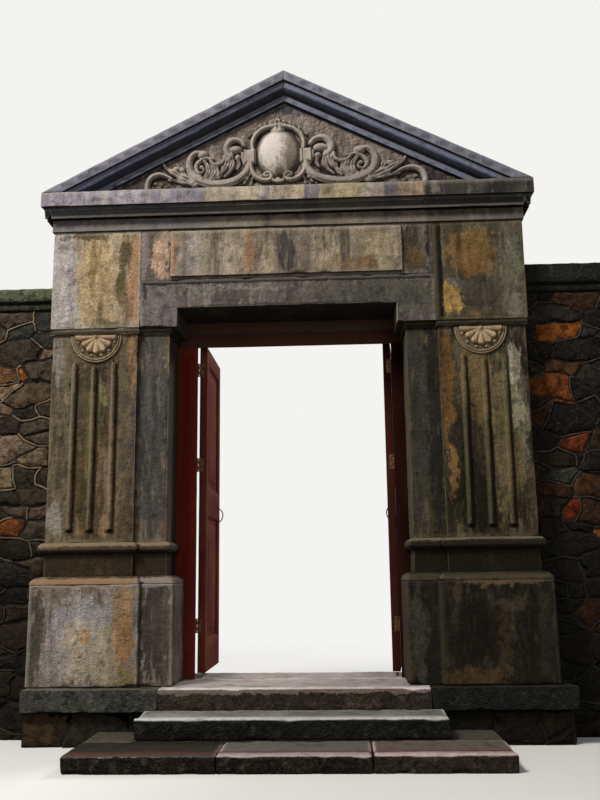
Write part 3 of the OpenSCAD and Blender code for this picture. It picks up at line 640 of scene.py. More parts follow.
def carved_stucco(name, body, wash, pale, dark, stains=(), rough=0.003):
    """Stucco carved while soft and limewashed once: pale on the high parts, and darkened towards
    the ground in the low ones, as painted shade in the gaps with some dirt, sandy all over."""
    material, tree, shader, place = start_finish(name, 0.93)
    colour = blotches(tree, body, wash, place, 0.12, 0.44, 0.6, 5.0, 0.9)
    colour = lay_stains(tree, colour, place, stains)
    colour = blotches(tree, colour, pale, place, 0.03, 0.56, 0.7, 5.0, 0.55)
    height = add(tree, "ShaderNodeAttribute", attribute_name="height").outputs["Fac"]
    # Painted shade in the gaps, with some dirt: the lower a point, the darker
    colour = laid_where(tree, height, 0.6, 0.12, 0.92, colour, dark, "LINEAR")
    colour = blotches(tree, colour, dark, place, 0.02, 0.58, 0.7, 5.0, 0.6)
    end_finish(tree, shader, colour, place, ((0.009, 0.7), (0.02, 0.9)), rough)
    return material


# Sizes and colours that a user would change

class GatewayWear(bpy.types.PropertyGroup):
    """How worn the render and the slabs are"""
    arris: FloatProperty(name="Arris", description="Rounding of the render's outer edges",
                         default=0.008, min=0.001, max=0.02, subtype="DISTANCE", unit="LENGTH")
    lump: FloatProperty(name="Unevenness", description="How far the render's faces swell and sink",
                        default=0.002, min=0.0, max=0.01, subtype="DISTANCE", unit="LENGTH")
    chip: FloatProperty(name="Chips", description="Depth of the chips on the slabs' arrises",
                        default=0.018, min=0.0, max=0.04, subtype="DISTANCE", unit="LENGTH")


class GatewayRubble(bpy.types.PropertyGroup):
    """How the boundary walls are laid"""
    stone_w: FloatProperty(name="Stone width", description="Usual width of a rubble stone",
                           default=0.25, min=0.1, max=0.5, subtype="DISTANCE", unit="LENGTH")
    stone_h: FloatProperty(name="Stone height", description="Usual height of a rubble stone",
                           default=0.135, min=0.06, max=0.3, subtype="DISTANCE", unit="LENGTH")
    proud: FloatProperty(name="Stone face", description="How far a stone stands out of the bed",
                         default=0.014, min=0.003, max=0.03, subtype="DISTANCE", unit="LENGTH")
    ribbon_w: FloatProperty(name="Ribbon width", description="Width of the raised pointing",
                            default=0.014, min=0.008, max=0.03, subtype="DISTANCE",
                            unit="LENGTH")
    seed: IntProperty(name="Seed", description="Seed of the stones' layout", default=4, min=0)


class GatewayFinish(bpy.types.PropertyGroup):
    """Colours of the door paint and the studio"""
    paint: FloatVectorProperty(name="Paint", description="Oil paint of the leaf in the light",
                               size=4, default=linear("#57201a"), min=0, max=1, subtype="COLOR")
    floor: FloatVectorProperty(name="Floor", description="Colour of the studio floor", size=4,
                               default=linear("#d9d6d0"), min=0, max=1, subtype="COLOR")


# The stage: floor, light and camera

CAMERA_PLACE = Vector((0.3618, -6.2996, 1.1437))
CAMERA_YAW, CAMERA_PITCH, CAMERA_ROLL = -0.043, 0.195, -0.013
CAMERA_LENS = 39.26
BACKDROP = "#f4f3f0"
FLOOR_HALF = 60


def camera_matrix():
    """The camera's turn and place, from its yaw, pitch and roll in radians."""
    level = Vector((math.sin(CAMERA_YAW), math.cos(CAMERA_YAW), 0))
    right = Vector((math.cos(CAMERA_YAW), -math.sin(CAMERA_YAW), 0))
    forward = level * math.cos(CAMERA_PITCH) + Vector((0, 0, math.sin(CAMERA_PITCH)))
    up = Vector((0, 0, math.cos(CAMERA_PITCH))) - level * math.sin(CAMERA_PITCH)
    across = right * math.cos(CAMERA_ROLL) + up * math.sin(CAMERA_ROLL)
    upward = up * math.cos(CAMERA_ROLL) - right * math.sin(CAMERA_ROLL)
    turn = Matrix((across, upward, -forward)).transposed().to_4x4()
    return Matrix.Translation(CAMERA_PLACE) @ turn


def soft_light(name, place, aim, size, watts, colour):
    """A square area light that looks at a point."""
    data = bpy.data.lights.new(name, "AREA")
    data.shape = "SQUARE"
    data.size = size
    data.energy = watts
    data.color = colour
    lamp = placed(name, data)
    lamp.location = place
    lamp.rotation_euler = (Vector(aim) - Vector(place)).to_track_quat("-Z", "Y").to_euler()


class GATEWAY_OT_stage(bpy.types.Operator):
    """Sets the floor, the soft light and the camera"""
    bl_idname = "gateway.stage"
    bl_label = "Stage"

    def execute(self, context):
        scene = context.scene
        bm = bmesh.new()
        bmesh.ops.create_grid(bm, x_segments=1, y_segments=1, size=FLOOR_HALF)
        mesh = bpy.data.meshes.new("studio_floor")
        bm.to_mesh(mesh)
        bm.free()
        floor = placed("studio_floor", mesh)
        # Matt grey paint: it takes the gateway's shadow, and fades into the backdrop far off
        material, tree, shader, place = start_finish("matt studio floor", 0.95)
        camera_ray = add(tree, "ShaderNodeLightPath").outputs["Is Camera Ray"]
        seen = add(tree, "ShaderNodeMix", {0: camera_ray, 6: "#8b867e",
                                           7: scene.gateway_finish.floor[:]}, data_type="RGBA")
        tree.links.new(seen.outputs[2], shader.inputs["Base Color"])
        away = add(tree, "ShaderNodeVectorMath", {0: place}, operation="LENGTH").outputs["Value"]
        far = add(tree, "ShaderNodeMapRange", {"Value": away, "From Min": 2.5, "From Max": 9.0},
                  interpolation_type="SMOOTHSTEP")
        fade = add(tree, "ShaderNodeMath", {0: far.outputs[0], 1: camera_ray},
                   operation="MULTIPLY")
        glow = add(tree, "ShaderNodeEmission", {"Color": BACKDROP, "Strength": 1.0})
        both = add(tree, "ShaderNodeMixShader", {0: fade.outputs[0], 1: shader.outputs[0],
                                                 2: glow.outputs[0]})
        end = next(n for n in tree.nodes if n.type == "OUTPUT_MATERIAL")
        tree.links.new(both.outputs[0], end.inputs["Surface"])
        coat(mesh, material)

        world = bpy.data.worlds.new("studio")
        scene.world = world
        world.use_nodes = True
        sky = world.node_tree
        sky.nodes.clear()
        ray = add(sky, "ShaderNodeLightPath").outputs
        seen = ray["Is Camera Ray"]
        for kind in ("Is Glossy Ray", "Is Transmission Ray"):
            seen = add(sky, "ShaderNodeMath", {0: seen, 1: ray[kind]},
                       operation="MAXIMUM").outputs[0]
        soft = add(sky, "ShaderNodeBackground", {"Color": "#e4ecf7", "Strength": 0.3})
        white = add(sky, "ShaderNodeBackground", {"Color": BACKDROP, "Strength": 1.0})
        both = add(sky, "ShaderNodeMixShader", {0: seen, 1: soft.outputs[0], 2: white.outputs[0]})
        add(sky, "ShaderNodeOutputWorld", {"Surface": both.outputs[0]})

        soft_light("sky_front", (-5.0, -5.6, 10.4), (0, 0, 2.4), 3.0, 1500, (1.0, 0.98, 0.95))
        soft_light("sky_back", (5.5, 8.0, 9.0), (0, 0, 2.2), 4.0, 1000, (0.97, 0.98, 1.0))
        soft_light("low_fill", (3.5, -9.0, 4.0), (0, 0, 2.4), 5.0, 90, (1.0, 1.0, 1.0))

        data = bpy.data.cameras.new("photo_view")
        data.lens = CAMERA_LENS
        data.sensor_width = 36
        data.clip_end = 200
        camera = placed("photo_view", data)
        camera.matrix_world = camera_matrix()
        scene.camera = camera
        scene.view_settings.view_transform = "Standard"
        return {"FINISHED"}


# Piers

# Stains of the piers, as lay_stains takes them
PIER_STAINS = {
    "left": (
        (-1.66, 2.2, 0.08, 0.8, "#655949", 0.8), (-1.44, 1.75, 0.18, 0.5, "#4e3f2a", 0.8),
        (-1.44, 2.4, 0.18, 0.35, "#3c3326", 0.7), (-1.22, 2.2, 0.08, 0.7, "#564a3a", 0.8),
        (-1.15, 2.75, 0.03, 0.3, "#8a6a45", 0.8), (-1.33, 1.5, 0.03, 0.1, "#8b7150", 0.8),
        (-1.51, 1.48, 0.03, 0.1, "#84694a", 0.7), (-1.01, 2.2, 0.13, 0.9, "#444240", 0.9),
        (-1.0, 2.5, 0.05, 0.25, "#58534f", 0.7), (-1.09, 2.1, 0.02, 0.8, "#34302b", 0.8),
        (-1.44, 2.2, 0.06, 0.3, "#6b6038", 0.6), (-1.37, 2.45, 0.03, 0.1, "#8a8250", 0.7),
        (-1.7, 1.55, 0.06, 0.12, "#8a8378", 0.7), (-1.72, 2.75, 0.04, 0.25, "#7d746b", 0.8),
        (-1.3, 2.0, 0.06, 0.3, "#6e5a44", 0.7), (-1.51, 2.0, 0.03, 0.5, "#52452f", 0.7),
        (-1.28, 1.75, 0.05, 0.25, "#7a6450", 0.7),
    ),
    "right": (
        (1.42, 1.62, 0.3, 0.2, "#241f12", 0.9), (1.66, 2.3, 0.09, 0.5, "#6a6450", 0.85),
        (1.6, 2.0, 0.09, 0.35, "#5a482c", 0.7), (1.17, 2.45, 0.05, 0.45, "#6b4c28", 0.9),
        (1.19, 1.85, 0.04, 0.2, "#7a5c36", 0.8), (1.22, 2.12, 0.06, 0.09, "#25221a", 0.9),
        (1.38, 2.5, 0.12, 0.35, "#6a5839", 0.85), (1.53, 2.1, 0.05, 0.6, "#6d5f42", 0.7),
        (1.32, 1.95, 0.1, 0.3, "#262216", 0.9), (0.93, 2.2, 0.07, 0.9, "#36342c", 0.95),
        (1.07, 2.2, 0.05, 0.9, "#201f1b", 0.9), (1.66, 2.62, 0.05, 0.16, "#a39a84", 0.8),
        (1.67, 2.3, 0.05, 0.12, "#938a72", 0.8), (1.28, 1.75, 0.08, 0.25, "#151409", 0.9),
        (1.4, 1.6, 0.05, 0.3, "#14130b", 0.8),
    ),
}
# Painted shadow under the frieze, on the neck band at the top of each pier
NECK_PAINTED_SHADOW = {
    "left": ((0, 2.935, 9, 0.022, "#251e15", 0.9),),
    "right": ((0, 2.935, 9, 0.024, "#16120c", 0.93),),
}
# Where the three reeds of a pilaster stand, out from the middle
REEDS = (1.292, 1.44, 1.588)


def reed_painted_light(sign, shadow, crest, face):
    """Painted light on each reed: painted shadow along its right-hand side and round its foot, and
    a painted highlight on its crest.
    """
    stains = []
    for x in REEDS:
        stains += [(sign * x + 0.03, 2.08, 0.009, 0.66, shadow, 0.8, face),
                   (sign * x - 0.004, 2.1, 0.008, 0.64, crest, 0.5, face),
                   (sign * x, 1.452, 0.034, 0.016, shadow, 0.9, face)]
    return tuple(stains)


# Stains of the pier bases, with painted light: the pale bands along the top of the roll are
# painted highlight, and the dark bands under the roll and over the dado are painted shade
BASE_LIGHT_SHADE_AND_STAINS = {
    "left": (
        (-1.35, 1.215, 9, 0.085, "#2c2417", 0.8), (-1.35, 1.095, 9, 0.022, "#82674b", 0.93),
        (-0.95, 1.095, 0.14, 0.03, "#79716a", 0.9), (-1.35, 1.362, 9, 0.016, "#76664f", 0.8),
        (-1.1, 1.31, 9, 0.025, "#2a2317", 0.8),
    ),
    "right": (
        (1.3, 1.2, 9, 0.1, "#17130b", 0.9), (1.3, 1.368, 9, 0.012, "#645d48", 0.85),
        (1.3, 1.11, 9, 0.015, "#3a3325", 0.7), (1.3, 1.32, 9, 0.03, "#13110a", 0.85),
    ),
}
PEDESTAL_STAINS = {
    "left": (
        (-1.44, 0.72, 0.25, 0.27, "#9b9189", 0.95), (-1.5, 0.62, 0.12, 0.2, "#a5947c", 0.8),
        (-1.35, 0.9, 0.2, 0.07, "#8b8785", 0.6), (-1.62, 0.82, 0.06, 0.12, "#868384", 0.6),
        (-1.16, 0.76, 0.08, 0.27, "#8a6945", 0.95), (-1.42, 0.72, 0.04, 0.04, "#a0764a", 0.7),
        (-1.79, 0.7, 0.07, 0.4, "#3a362d", 0.88), (-1.14, 0.45, 0.1, 0.06, "#716540", 0.95),
        (-0.93, 0.76, 0.13, 0.4, "#3b342e", 0.95), (-0.87, 0.8, 0.03, 0.3, "#504a3f", 0.7),
        (-1.16, 0.95, 0.07, 0.12, "#8b7052", 0.9), (-1.3, 0.6, 0.1, 0.2, "#998a72", 0.8),
        (-1.62, 0.55, 0.1, 0.12, "#86807a", 0.7),
    ),
    "right": (
        (1.28, 0.45, 0.22, 0.06, "#48381f", 0.9), (1.47, 0.66, 0.045, 0.24, "#3a2f1e", 0.8),
        (1.3, 0.75, 0.14, 0.2, "#15120b", 0.85), (1.52, 0.92, 0.12, 0.05, "#41392a", 0.6),
        (1.75, 0.75, 0.05, 0.35, "#2e2a1d", 0.7), (0.9, 0.74, 0.05, 0.4, "#3b3730", 0.8),
        (1.0, 0.74, 0.04, 0.4, "#1c1914", 0.8), (1.5, 1.065, 0.25, 0.02, "#5a4a31", 0.9),
    ),
}

NOSING_STAINS = {
    "left": (
        (-1.45, 1.074, 0.34, 0.02, "#7c644c", 0.9), (-0.97, 1.074, 0.14, 0.02, "#766f69", 0.9),
    ),
    "right": ((1.5, 1.066, 0.3, 0.014, "#554630", 0.85),),
}


class GATEWAY_OT_piers(bpy.types.Operator):
    """Dresses the pedestals, the pier bases and the piers with rained-on render"""
    bl_idname = "gateway.piers"
    bl_label = "Piers"

    def execute(self, context):
        wear = context.scene.gateway_wear
        # Each side's body, wash, pale and dark colours. The right side's are darker throughout:
        # painted shade on that side
        tones = {"left": ("#5b4c3b", "#4a3e2f", "#92836b", "#1f1910"),
                 "right": ("#3d3626", "#2a261b", "#6b6048", "#13110b")}
        bases = {"left": ("#3a3122", "#4f402c", "#8b745c", "#171309"),
                 "right": ("#221e14", "#302a1c", "#5a5240", "#0d0b06")}
        pedestals = {"left": ("#7b6f62", "#6e6255", "#a0968c", "#3a3227"),
                     "right": ("#1f1b14", "#16130c", "#4a4130", "#0b0905")}
        reeds = {"left": (-1, "#1d160e", "#75664c"), "right": (1, "#14110a", "#5d5138")}
        for seed, side in enumerate(("left", "right"), 1):
            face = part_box(side + "_pier")[0].y
            # The shaft's dips: painted shadow under the frieze, and the reeds' painted shadows and
            # highlights
            shaft = weathered_render(side + " shaft render", *tones[side],
                                     stains=PIER_STAINS[side],
                                     dips=NECK_PAINTED_SHADOW[side] + reed_painted_light(*reeds[side], face))
            base = weathered_render(side + " base render", *bases[side], moss=0.8,
                                    dips=BASE_LIGHT_SHADE_AND_STAINS[side])
            block = weathered_render(side + " pedestal render", *pedestals[side],
                                     stains=PEDESTAL_STAINS[side], streaks=0.3,
                                     dips=NOSING_STAINS[side], nook_shade=0.5)
            worn(side + "_pier", shaft, wear.arris, 0.045, wear.lump, 0.008, seed)
            worn(side + "_pier_base", base, 0, 0.04, wear.lump, 0.006, seed + 2)
            worn(side + "_pedestal", block, wear.arris * 1.6, 0.04,
                 wear.lump, 0.012, seed + 4)
        return {"FINISHED"}


# Lintel, frieze and cornice

LEFT_FRIEZE_STAINS = (
    (-1.7, 3.35, 0.1, 0.6, "#9b938e", 0.95), (-1.6, 3.2, 0.04, 0.24, "#8d8886", 0.7),
    (-1.43, 3.3, 0.15, 0.42, "#a38b68", 0.95), (-1.47, 3.45, 0.03, 0.2, "#806a3e", 0.7),
    (-1.22, 3.35, 0.05, 0.42, "#6a583c", 0.9), (-1.24, 3.34, 0.025, 0.11, "#4a4229", 0.85),
    (-1.28, 3.22, 0.03, 0.06, "#564b2e", 0.7), (-1.21, 3.55, 0.05, 0.08, "#4c412b", 0.8),
    (-1.15, 3.3, 0.04, 0.3, "#987456", 0.9), (-1.14, 3.58, 0.03, 0.12, "#93704f", 0.8),
    (-1.5, 3.69, 0.14, 0.03, "#4a4029", 0.9), (-1.7, 3.69, 0.05, 0.03, "#5c5750", 0.8),
    (-1.35, 3.0, 0.1, 0.03, "#4f4530", 0.7),
)
PANEL_STAINS = (
    (-1.08, 3.54, 0.038, 0.24, "#756865", 0.95), (-0.95, 3.54, 0.06, 0.2, "#ae9177", 0.95),
    (-0.9, 3.68, 0.1, 0.03, "#8a7a68", 0.8), (0.0, 3.7, 0.8, 0.02, "#6a5b48", 0.8),
    (0.95, 3.54, 0.07, 0.2, "#3b3327", 0.95), (0.97, 3.45, 0.06, 0.1, "#54422a", 0.9),
    (1.055, 3.46, 0.012, 0.25, "#5d594c", 0.8), (1.09, 3.5, 0.025, 0.4, "#1f1e19", 0.95),
)
RIGHT_FRIEZE_STAINS = (
    (1.38, 3.5, 0.18, 0.17, "#6f5430", 0.95), (1.4, 3.34, 0.1, 0.06, "#684c2a", 0.85),
    (1.5, 3.5, 0.07, 0.13, "#644f2d", 0.7), (1.25, 3.48, 0.04, 0.14, "#735a38", 0.7),
    (1.67, 3.3, 0.08, 0.42, "#5f5c4b", 0.95), (1.22, 3.12, 0.1, 0.12, "#a5824b", 0.95),
    (1.4, 3.02, 0.05, 0.04, "#6a4d2b", 0.8), (1.45, 3.16, 0.13, 0.12, "#403932", 0.95),
    (1.27, 3.24, 0.05, 0.04, "#55585a", 0.7), (1.68, 3.05, 0.06, 0.08, "#6a6455", 0.8),
)
LINTEL_STAINS = (
    (-0.97, 3.12, 0.13, 0.17, "#655e5b", 0.9), (0.95, 3.1, 0.14, 0.16, "#4c483f", 0.8),
    (-0.3, 3.24, 0.4, 0.012, "#7e766e", 0.6), (0.35, 3.21, 0.3, 0.01, "#7c746b", 0.6),
    (-0.62, 3.27, 0.18, 0.012, "#827a72", 0.6), (0.62, 3.27, 0.2, 0.012, "#7a7268", 0.6),
    (0.1, 3.15, 0.12, 0.03, "#49443a", 0.7), (0.68, 3.2, 0.6, 0.17, "#46433a", 0.8),
    (-1.08, 3.25, 0.02, 0.1, "#2f2c2a", 0.9),
)
# The cornice from its foot to its top
CORNICE_HEIGHT = 0.298
# Painted shadow under the plaque's foot, along the top of the lintel, and a darker line low on the
# lintel
LINTEL_DARK_LINES = (
    (0.0, 3.308, 9, 0.02, "#1d1b17", 0.95), (0.0, 3.115, 0.85, 0.012, "#3a352f", 0.8),
)
PLAQUE_STAINS = (
    (-0.86, 3.53, 0.03, 0.2, "#8f6c52", 0.95), (-0.72, 3.5, 0.08, 0.22, "#8f857c", 0.7),
    (-0.45, 3.45, 0.1, 0.2, "#9b8b78", 0.8), (-0.28, 3.5, 0.04, 0.2, "#8d6c50", 0.8),
    (-0.15, 3.5, 0.06, 0.2, "#93826c", 0.8), (0.01, 3.5, 0.05, 0.24, "#403a39", 0.95),
    (0.15, 3.5, 0.05, 0.2, "#6b6052", 0.85), (0.3, 3.5, 0.1, 0.22, "#8f806b", 0.95),
    (0.45, 3.42, 0.1, 0.1, "#7c6649", 0.8), (0.72, 3.52, 0.12, 0.14, "#8d7e63", 0.9),
    (0.62, 3.42, 0.07, 0.06, "#6a4a2c", 0.7), (0.87, 3.5, 0.03, 0.15, "#6c5a40", 0.8),
)
# Stones in the slab of the cornice: (from x, to x, colour)
SLAB_BLOCKS = (
    (-1.87, -1.45, "#87808a"), (-1.45, -1.08, "#8d868a"), (-1.08, -0.61, "#7c757e"),
    (-0.61, -0.155, "#ab9b85"), (-0.155, -0.12, "#675f64"), (-0.12, 0.15, "#a39179"),
    (0.15, 0.26, "#675f64"), (0.26, 0.6, "#9a8a68"), (0.6, 0.75, "#85766a"),
    (0.75, 0.86, "#5c5559"), (0.86, 1.06, "#8c745c"), (1.06, 1.56, "#231f17"),
    (1.56, 1.9, "#1f1d18"),
)


class GATEWAY_OT_entablature(bpy.types.Operator):
    """Dresses the lintel, the frieze, the bare plaque and the cornice"""
    bl_idname = "gateway.entablature"
    bl_label = "Entablature"

    def execute(self, context):
        wear = context.scene.gateway_wear
        left = weathered_render("left frieze render", "#93856f", "#85765f", "#a99e8f", "#3f3628",
                                LEFT_FRIEZE_STAINS, moss=0.8)
        right = weathered_render("right frieze render", "#4c4434", "#3f392c", "#74694f",
                                 "#1a1811", RIGHT_FRIEZE_STAINS,
                                 dips=((1.136, 3.4, 0.034, 9, "#0e0d0a", 0.97),))
        panel = weathered_render("frieze panel render", "#5a5148", "#4a433b", "#83776a",
                                 "#221f1b", PANEL_STAINS)
        slate = weathered_render("slate-coloured lintel render", "#655d56", "#524b45", "#8b8278",
                                 "#24211e", LINTEL_STAINS, 0.3, dips=LINTEL_DARK_LINES)
        tablet = weathered_render("plaque render", "#7d705f", "#665b4f", "#a2957f", "#332c26",
                                  PLAQUE_STAINS, 0.8)
        foot = CORNICE_TOP - CORNICE_HEIGHT
        # Bands of the cornice from its foot: the fascia, the hollow painted near-black as shade
        # under the slab, and the fillet
        stops = ((foot, foot + 0.092, "#544d44", 0.6),
                 (foot + 0.092, foot + 0.158, "#0d0e0d", 0.97),
                 (foot + 0.158, foot + 0.18, "#42403e", 0.8))
        top = banded_render("cornice render", (0, 1), stops, "#716b6a", "#5e5853", "#948c80",
                            "#2b2824", SLAB_BLOCKS)
        worn("left_frieze_block", left, 0.003, 0.045, wear.lump, 0.004, 11)
        worn("right_frieze_block", right, 0.003, 0.045, wear.lump, 0.004, 12)
        worn("frieze_panel", panel, 0.003, 0.045, wear.lump, 0.003, 13)
        worn("lintel", slate, 0.003, 0.035, wear.lump * 1.5, 0.012, 14)
        worn("plaque", tablet, wear.arris * 0.6, 0.04, wear.lump, 0.008, 15)
        worn("cornice", top, 0.004, 0.06, wear.lump, 0.004, 16)
        return {"FINISHED"}


# Gable. Each dip in the ground of the relief is (x out, z up, half width, half height,
# colour), in millimetres from the middle of the cornice's top. Most are painted shade in the gaps
# and under the carved leaves and bosses; the brown and orange ones near x 1000 are the stucco's
# own colour.

RAKE_SLOPE = math.radians(27.19)
APEX_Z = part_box("left_raking_cornice")[1].z

# Where the carvings lie, as the photo shows them: the cartouche a little to the left, and the
# right scroll wider than the left one
ACROSS = {
    "cartouche": lambda x: x - 54,
    "left_scroll": lambda x: -x,
    "right_scroll": lambda x: 214 + (x - 330) * 1.161,
}
# Painted shade in the relief's gaps, with a few stains of the stucco
RELIEF_SHADE_AND_STAINS = (
    (386, 420, 40, 16, "#0f0d0b"), (400, 312, 66, 14, "#15120e"), (312, 275, 14, 50, "#15120e"),
    (440, 158, 95, 44, "#24231f"), (700, 330, 26, 36, "#1a1611"), (628, 300, 40, 14, "#1f1a15"),
    (206, 420, 20, 60, "#0d0b09"), (1005, 135, 44, 40, "#3a2c20"), (985, 95, 40, 26, "#7a553a"),
    (820, 108, 80, 16, "#1f1a14"), (520, 200, 20, 40, "#1c1813"), (860, 190, 34, 20, "#2a241c"),
    (240, 90, 40, 14, "#1a1511"), (180, 210, 20, 40, "#15120e"), (520, 60, 240, 10, "#17130f"),
)


class GATEWAY_OT_gable(bpy.types.Operator):
    """Dresses the gable wall and its sloping cornices"""
    bl_idname = "gateway.gable"
    bl_label = "Gable"

    def execute(self, context):
        wear = context.scene.gateway_wear
        dips = [(ACROSS[side](x) * MILLIMETRE, CORNICE_TOP + z * MILLIMETRE,
                 half_x * MILLIMETRE, half_z * MILLIMETRE, tone, 0.92, GABLE_LOW.y)
                for x, z, half_x, half_z, tone in RELIEF_SHADE_AND_STAINS
                for side in ("left_scroll", "right_scroll")]
        stains = ((0, 4.74, 0.3, 0.06, "#3a3d4a", 0.8), (-1.1, 4.15, 0.25, 0.16, "#33302f", 0.8),
                  (1.1, 4.15, 0.25, 0.16, "#2c2a29", 0.85))
        field = weathered_render("rough-cast gable render", "#76695f", "#62564d", "#9d9087",
                                 "#2b2621", stains, 0.2, pits=4.0, dips=dips)
        turn = (math.sin(RAKE_SLOPE), math.cos(RAKE_SLOPE))
        top = APEX_Z * turn[1]
        stops = ((top - 0.072, top, "#66626c", 0.5), (top - 0.082, top - 0.072, "#85828a", 0.85),
                 (top - 0.146, top - 0.082, "#6a7186", 0.8),
                 (top - 0.168, top - 0.146, "#74777f", 0.8),
                 (top - 0.2, top - 0.168, "#575d70", 0.85))
        slate = banded_render("slate-coloured cornice render", turn, stops, "#54525a", "#43444c",
                              "#9a97a0", "#1b1c22")
        worn("gable_wall", field, 0, 0.05, wear.lump, 0, 21)
        for seed, node in enumerate(("left_raking_cornice", "right_raking_cornice"), 22):
            worn(node, slate, 0.004, 0.06, wear.lump, 0.004, seed)
        return {"FINISHED"}


# Carved relief, as a height above the gable wall over a grid, in millimetres

# The step of the grid, the grain of the stucco and the height from which it is carved
CARVING_STEP, CARVING_GRAIN, CARVING_EDGE = 4.5, 0.6, 1.5


class Carving:
    """A height field over a grid of x outwards and z up, in millimetres from the middle of
    the cornice's top."""

    def __init__(self, x_range, z_range):
        self.x, self.z = (np.arange(low, high + CARVING_STEP, CARVING_STEP, dtype=float)
                          for low, high in (x_range, z_range))
        self.gx, self.gz = np.meshgrid(self.x, self.z, indexing="ij")
        self.height = np.zeros_like(self.gx)

    def raise_to(self, height, inside):
        """Raises the field inside an outline to a height, where it is lower."""
        self.height = np.maximum(self.height, np.where(inside, height, 0))

    def stroke(self, points, width, rise, groove=0.0, full=0.5, lobes=0):
        """A rounded band along a smooth line through the points. Its width runs from the
        first to the last of the three widths given. It may have a groove along each side,
        as a strap has, or lobes along its edges, as a leaf has."""
        line = smooth_line(points)
        lengths = np.concatenate([[0], np.cumsum([math.dist(a, b)
                                                  for a, b in zip(line, line[1:])])])
        best = np.full(self.gx.shape, 1e9)
        share = np.zeros(self.gx.shape)
        for i, (a, b) in enumerate(zip(line, line[1:])):
            dx, dz = b[0] - a[0], b[1] - a[1]
            span = max(dx * dx + dz * dz, 1e-9)
            t = np.clip(((self.gx - a[0]) * dx + (self.gz - a[1]) * dz) / span, 0, 1)
            away = np.hypot(self.gx - a[0] - t * dx, self.gz - a[1] - t * dz)
            nearer = away < best
            best = np.where(nearer, away, best)
            along = (lengths[i] + t * (lengths[i + 1] - lengths[i])) / lengths[-1]
            share = np.where(nearer, along, share)
        half = np.interp(share, [0, full, 1], width) / 2
        if lobes:
            half = half * (1 + 0.2 * np.cos(2 * math.pi * lobes * share))
        ratio = np.clip(best / half, 0, 1)
        profile = np.sqrt(1 - ratio ** 3.2)
        if groove:
            profile = profile - groove * np.exp(-((ratio - 0.62) / 0.12) ** 2)
        if lobes:
            profile = profile - 0.3 * np.exp(-(ratio / 0.16) ** 2)
            profile = profile * (0.86 + 0.14 * np.cos(2 * math.pi * lobes * (share + ratio / 6)))
        self.raise_to(rise * profile, best < half)

    def dome(self, centre, half, rise, power=2.0):
        """A domed boss with an oval outline."""
        reach = np.hypot((self.gx - centre[0]) / half[0], (self.gz - centre[1]) / half[1])
        self.raise_to(rise * np.sqrt(np.clip(1 - reach ** power, 0, 1)), reach < 1)

    def tablet(self, low, high, rise):
        """A flat clip with rounded edges."""
        mid = ((low[0] + high[0]) / 2, (low[1] + high[1]) / 2)
        reach = np.maximum(np.abs(self.gx - mid[0]) / ((high[0] - low[0]) / 2),
                           np.abs(self.gz - mid[1]) / ((high[1] - low[1]) / 2))
        self.raise_to(rise * np.sqrt(np.clip(1 - reach ** 6, 0, 1)), reach < 1)

    def piece(self, name, across, material, node, seed):
        """The carved solid, from the gable wall's face out to the height. Across gives the
        real x of a point, in millimetres, and may mirror it."""
        side = across(1) - across(0)
        rng = np.random.default_rng(seed)
        grain = rng.standard_normal(self.height.shape).clip(-2, 2)
        rough = self.height + CARVING_GRAIN * grain
        keep = self.height > CARVING_EDGE
        cells = keep[:-1, :-1] | keep[1:, :-1] | keep[:-1, 1:] | keep[1:, 1:]
        base_y = GABLE_LOW.y
        bm = bmesh.new()
        tall = bm.verts.layers.float.new("height")
        top = float(self.height.max())
        front, back = {}, {}

        def corner(i, j):
            if (i, j) not in front:
                x = across(self.x[i]) * MILLIMETRE
                z = CORNICE_TOP + self.z[j] * MILLIMETRE
                front[i, j] = bm.verts.new((x, base_y - rough[i, j] * MILLIMETRE, z))
                front[i, j][tall] = self.height[i, j] / top
                back[i, j] = bm.verts.new((x, base_y + 0.004, z))
            return front[i, j], back[i, j]

        def face(points):
            bm.faces.new(points if side > 0 else points[::-1])

        for i, j in zip(*np.nonzero(cells)):
            ring = [corner(i, j), corner(i + 1, j), corner(i + 1, j + 1), corner(i, j + 1)]
            face([r[0] for r in ring])
            face([r[1] for r in ring][::-1])
            beside = ((i, j - 1), (i + 1, j), (i, j + 1), (i - 1, j))
            for k, (a, b) in enumerate(beside):
                inside = 0 <= a < cells.shape[0] and 0 <= b < cells.shape[1] and cells[a, b]
                if not inside:
                    p, q = ring[k], ring[(k + 1) % 4]
                    face([p[0], p[1], q[1], q[0]])
        finish_piece(bm, name, material, GATEWAY, (node,), 75)


def smooth_line(points, per_span=6):
    """A smooth line through the points."""
    p = [np.array(q, float) for q in points]
    p = [2 * p[0] - p[1]] + p + [2 * p[-1] - p[-2]]
    line = []
    for a, b, c, d in zip(p, p[1:], p[2:], p[3:]):
        for i in range(per_span):
            t = i / per_span
            line.append(tuple(0.5 * (2 * b + (c - a) * t + (2 * a - 5 * b + 4 * c - d) * t * t
                                     + (3 * b - a - 3 * c + d) * t ** 3)))
    line.append(tuple(p[-2]))
    return line


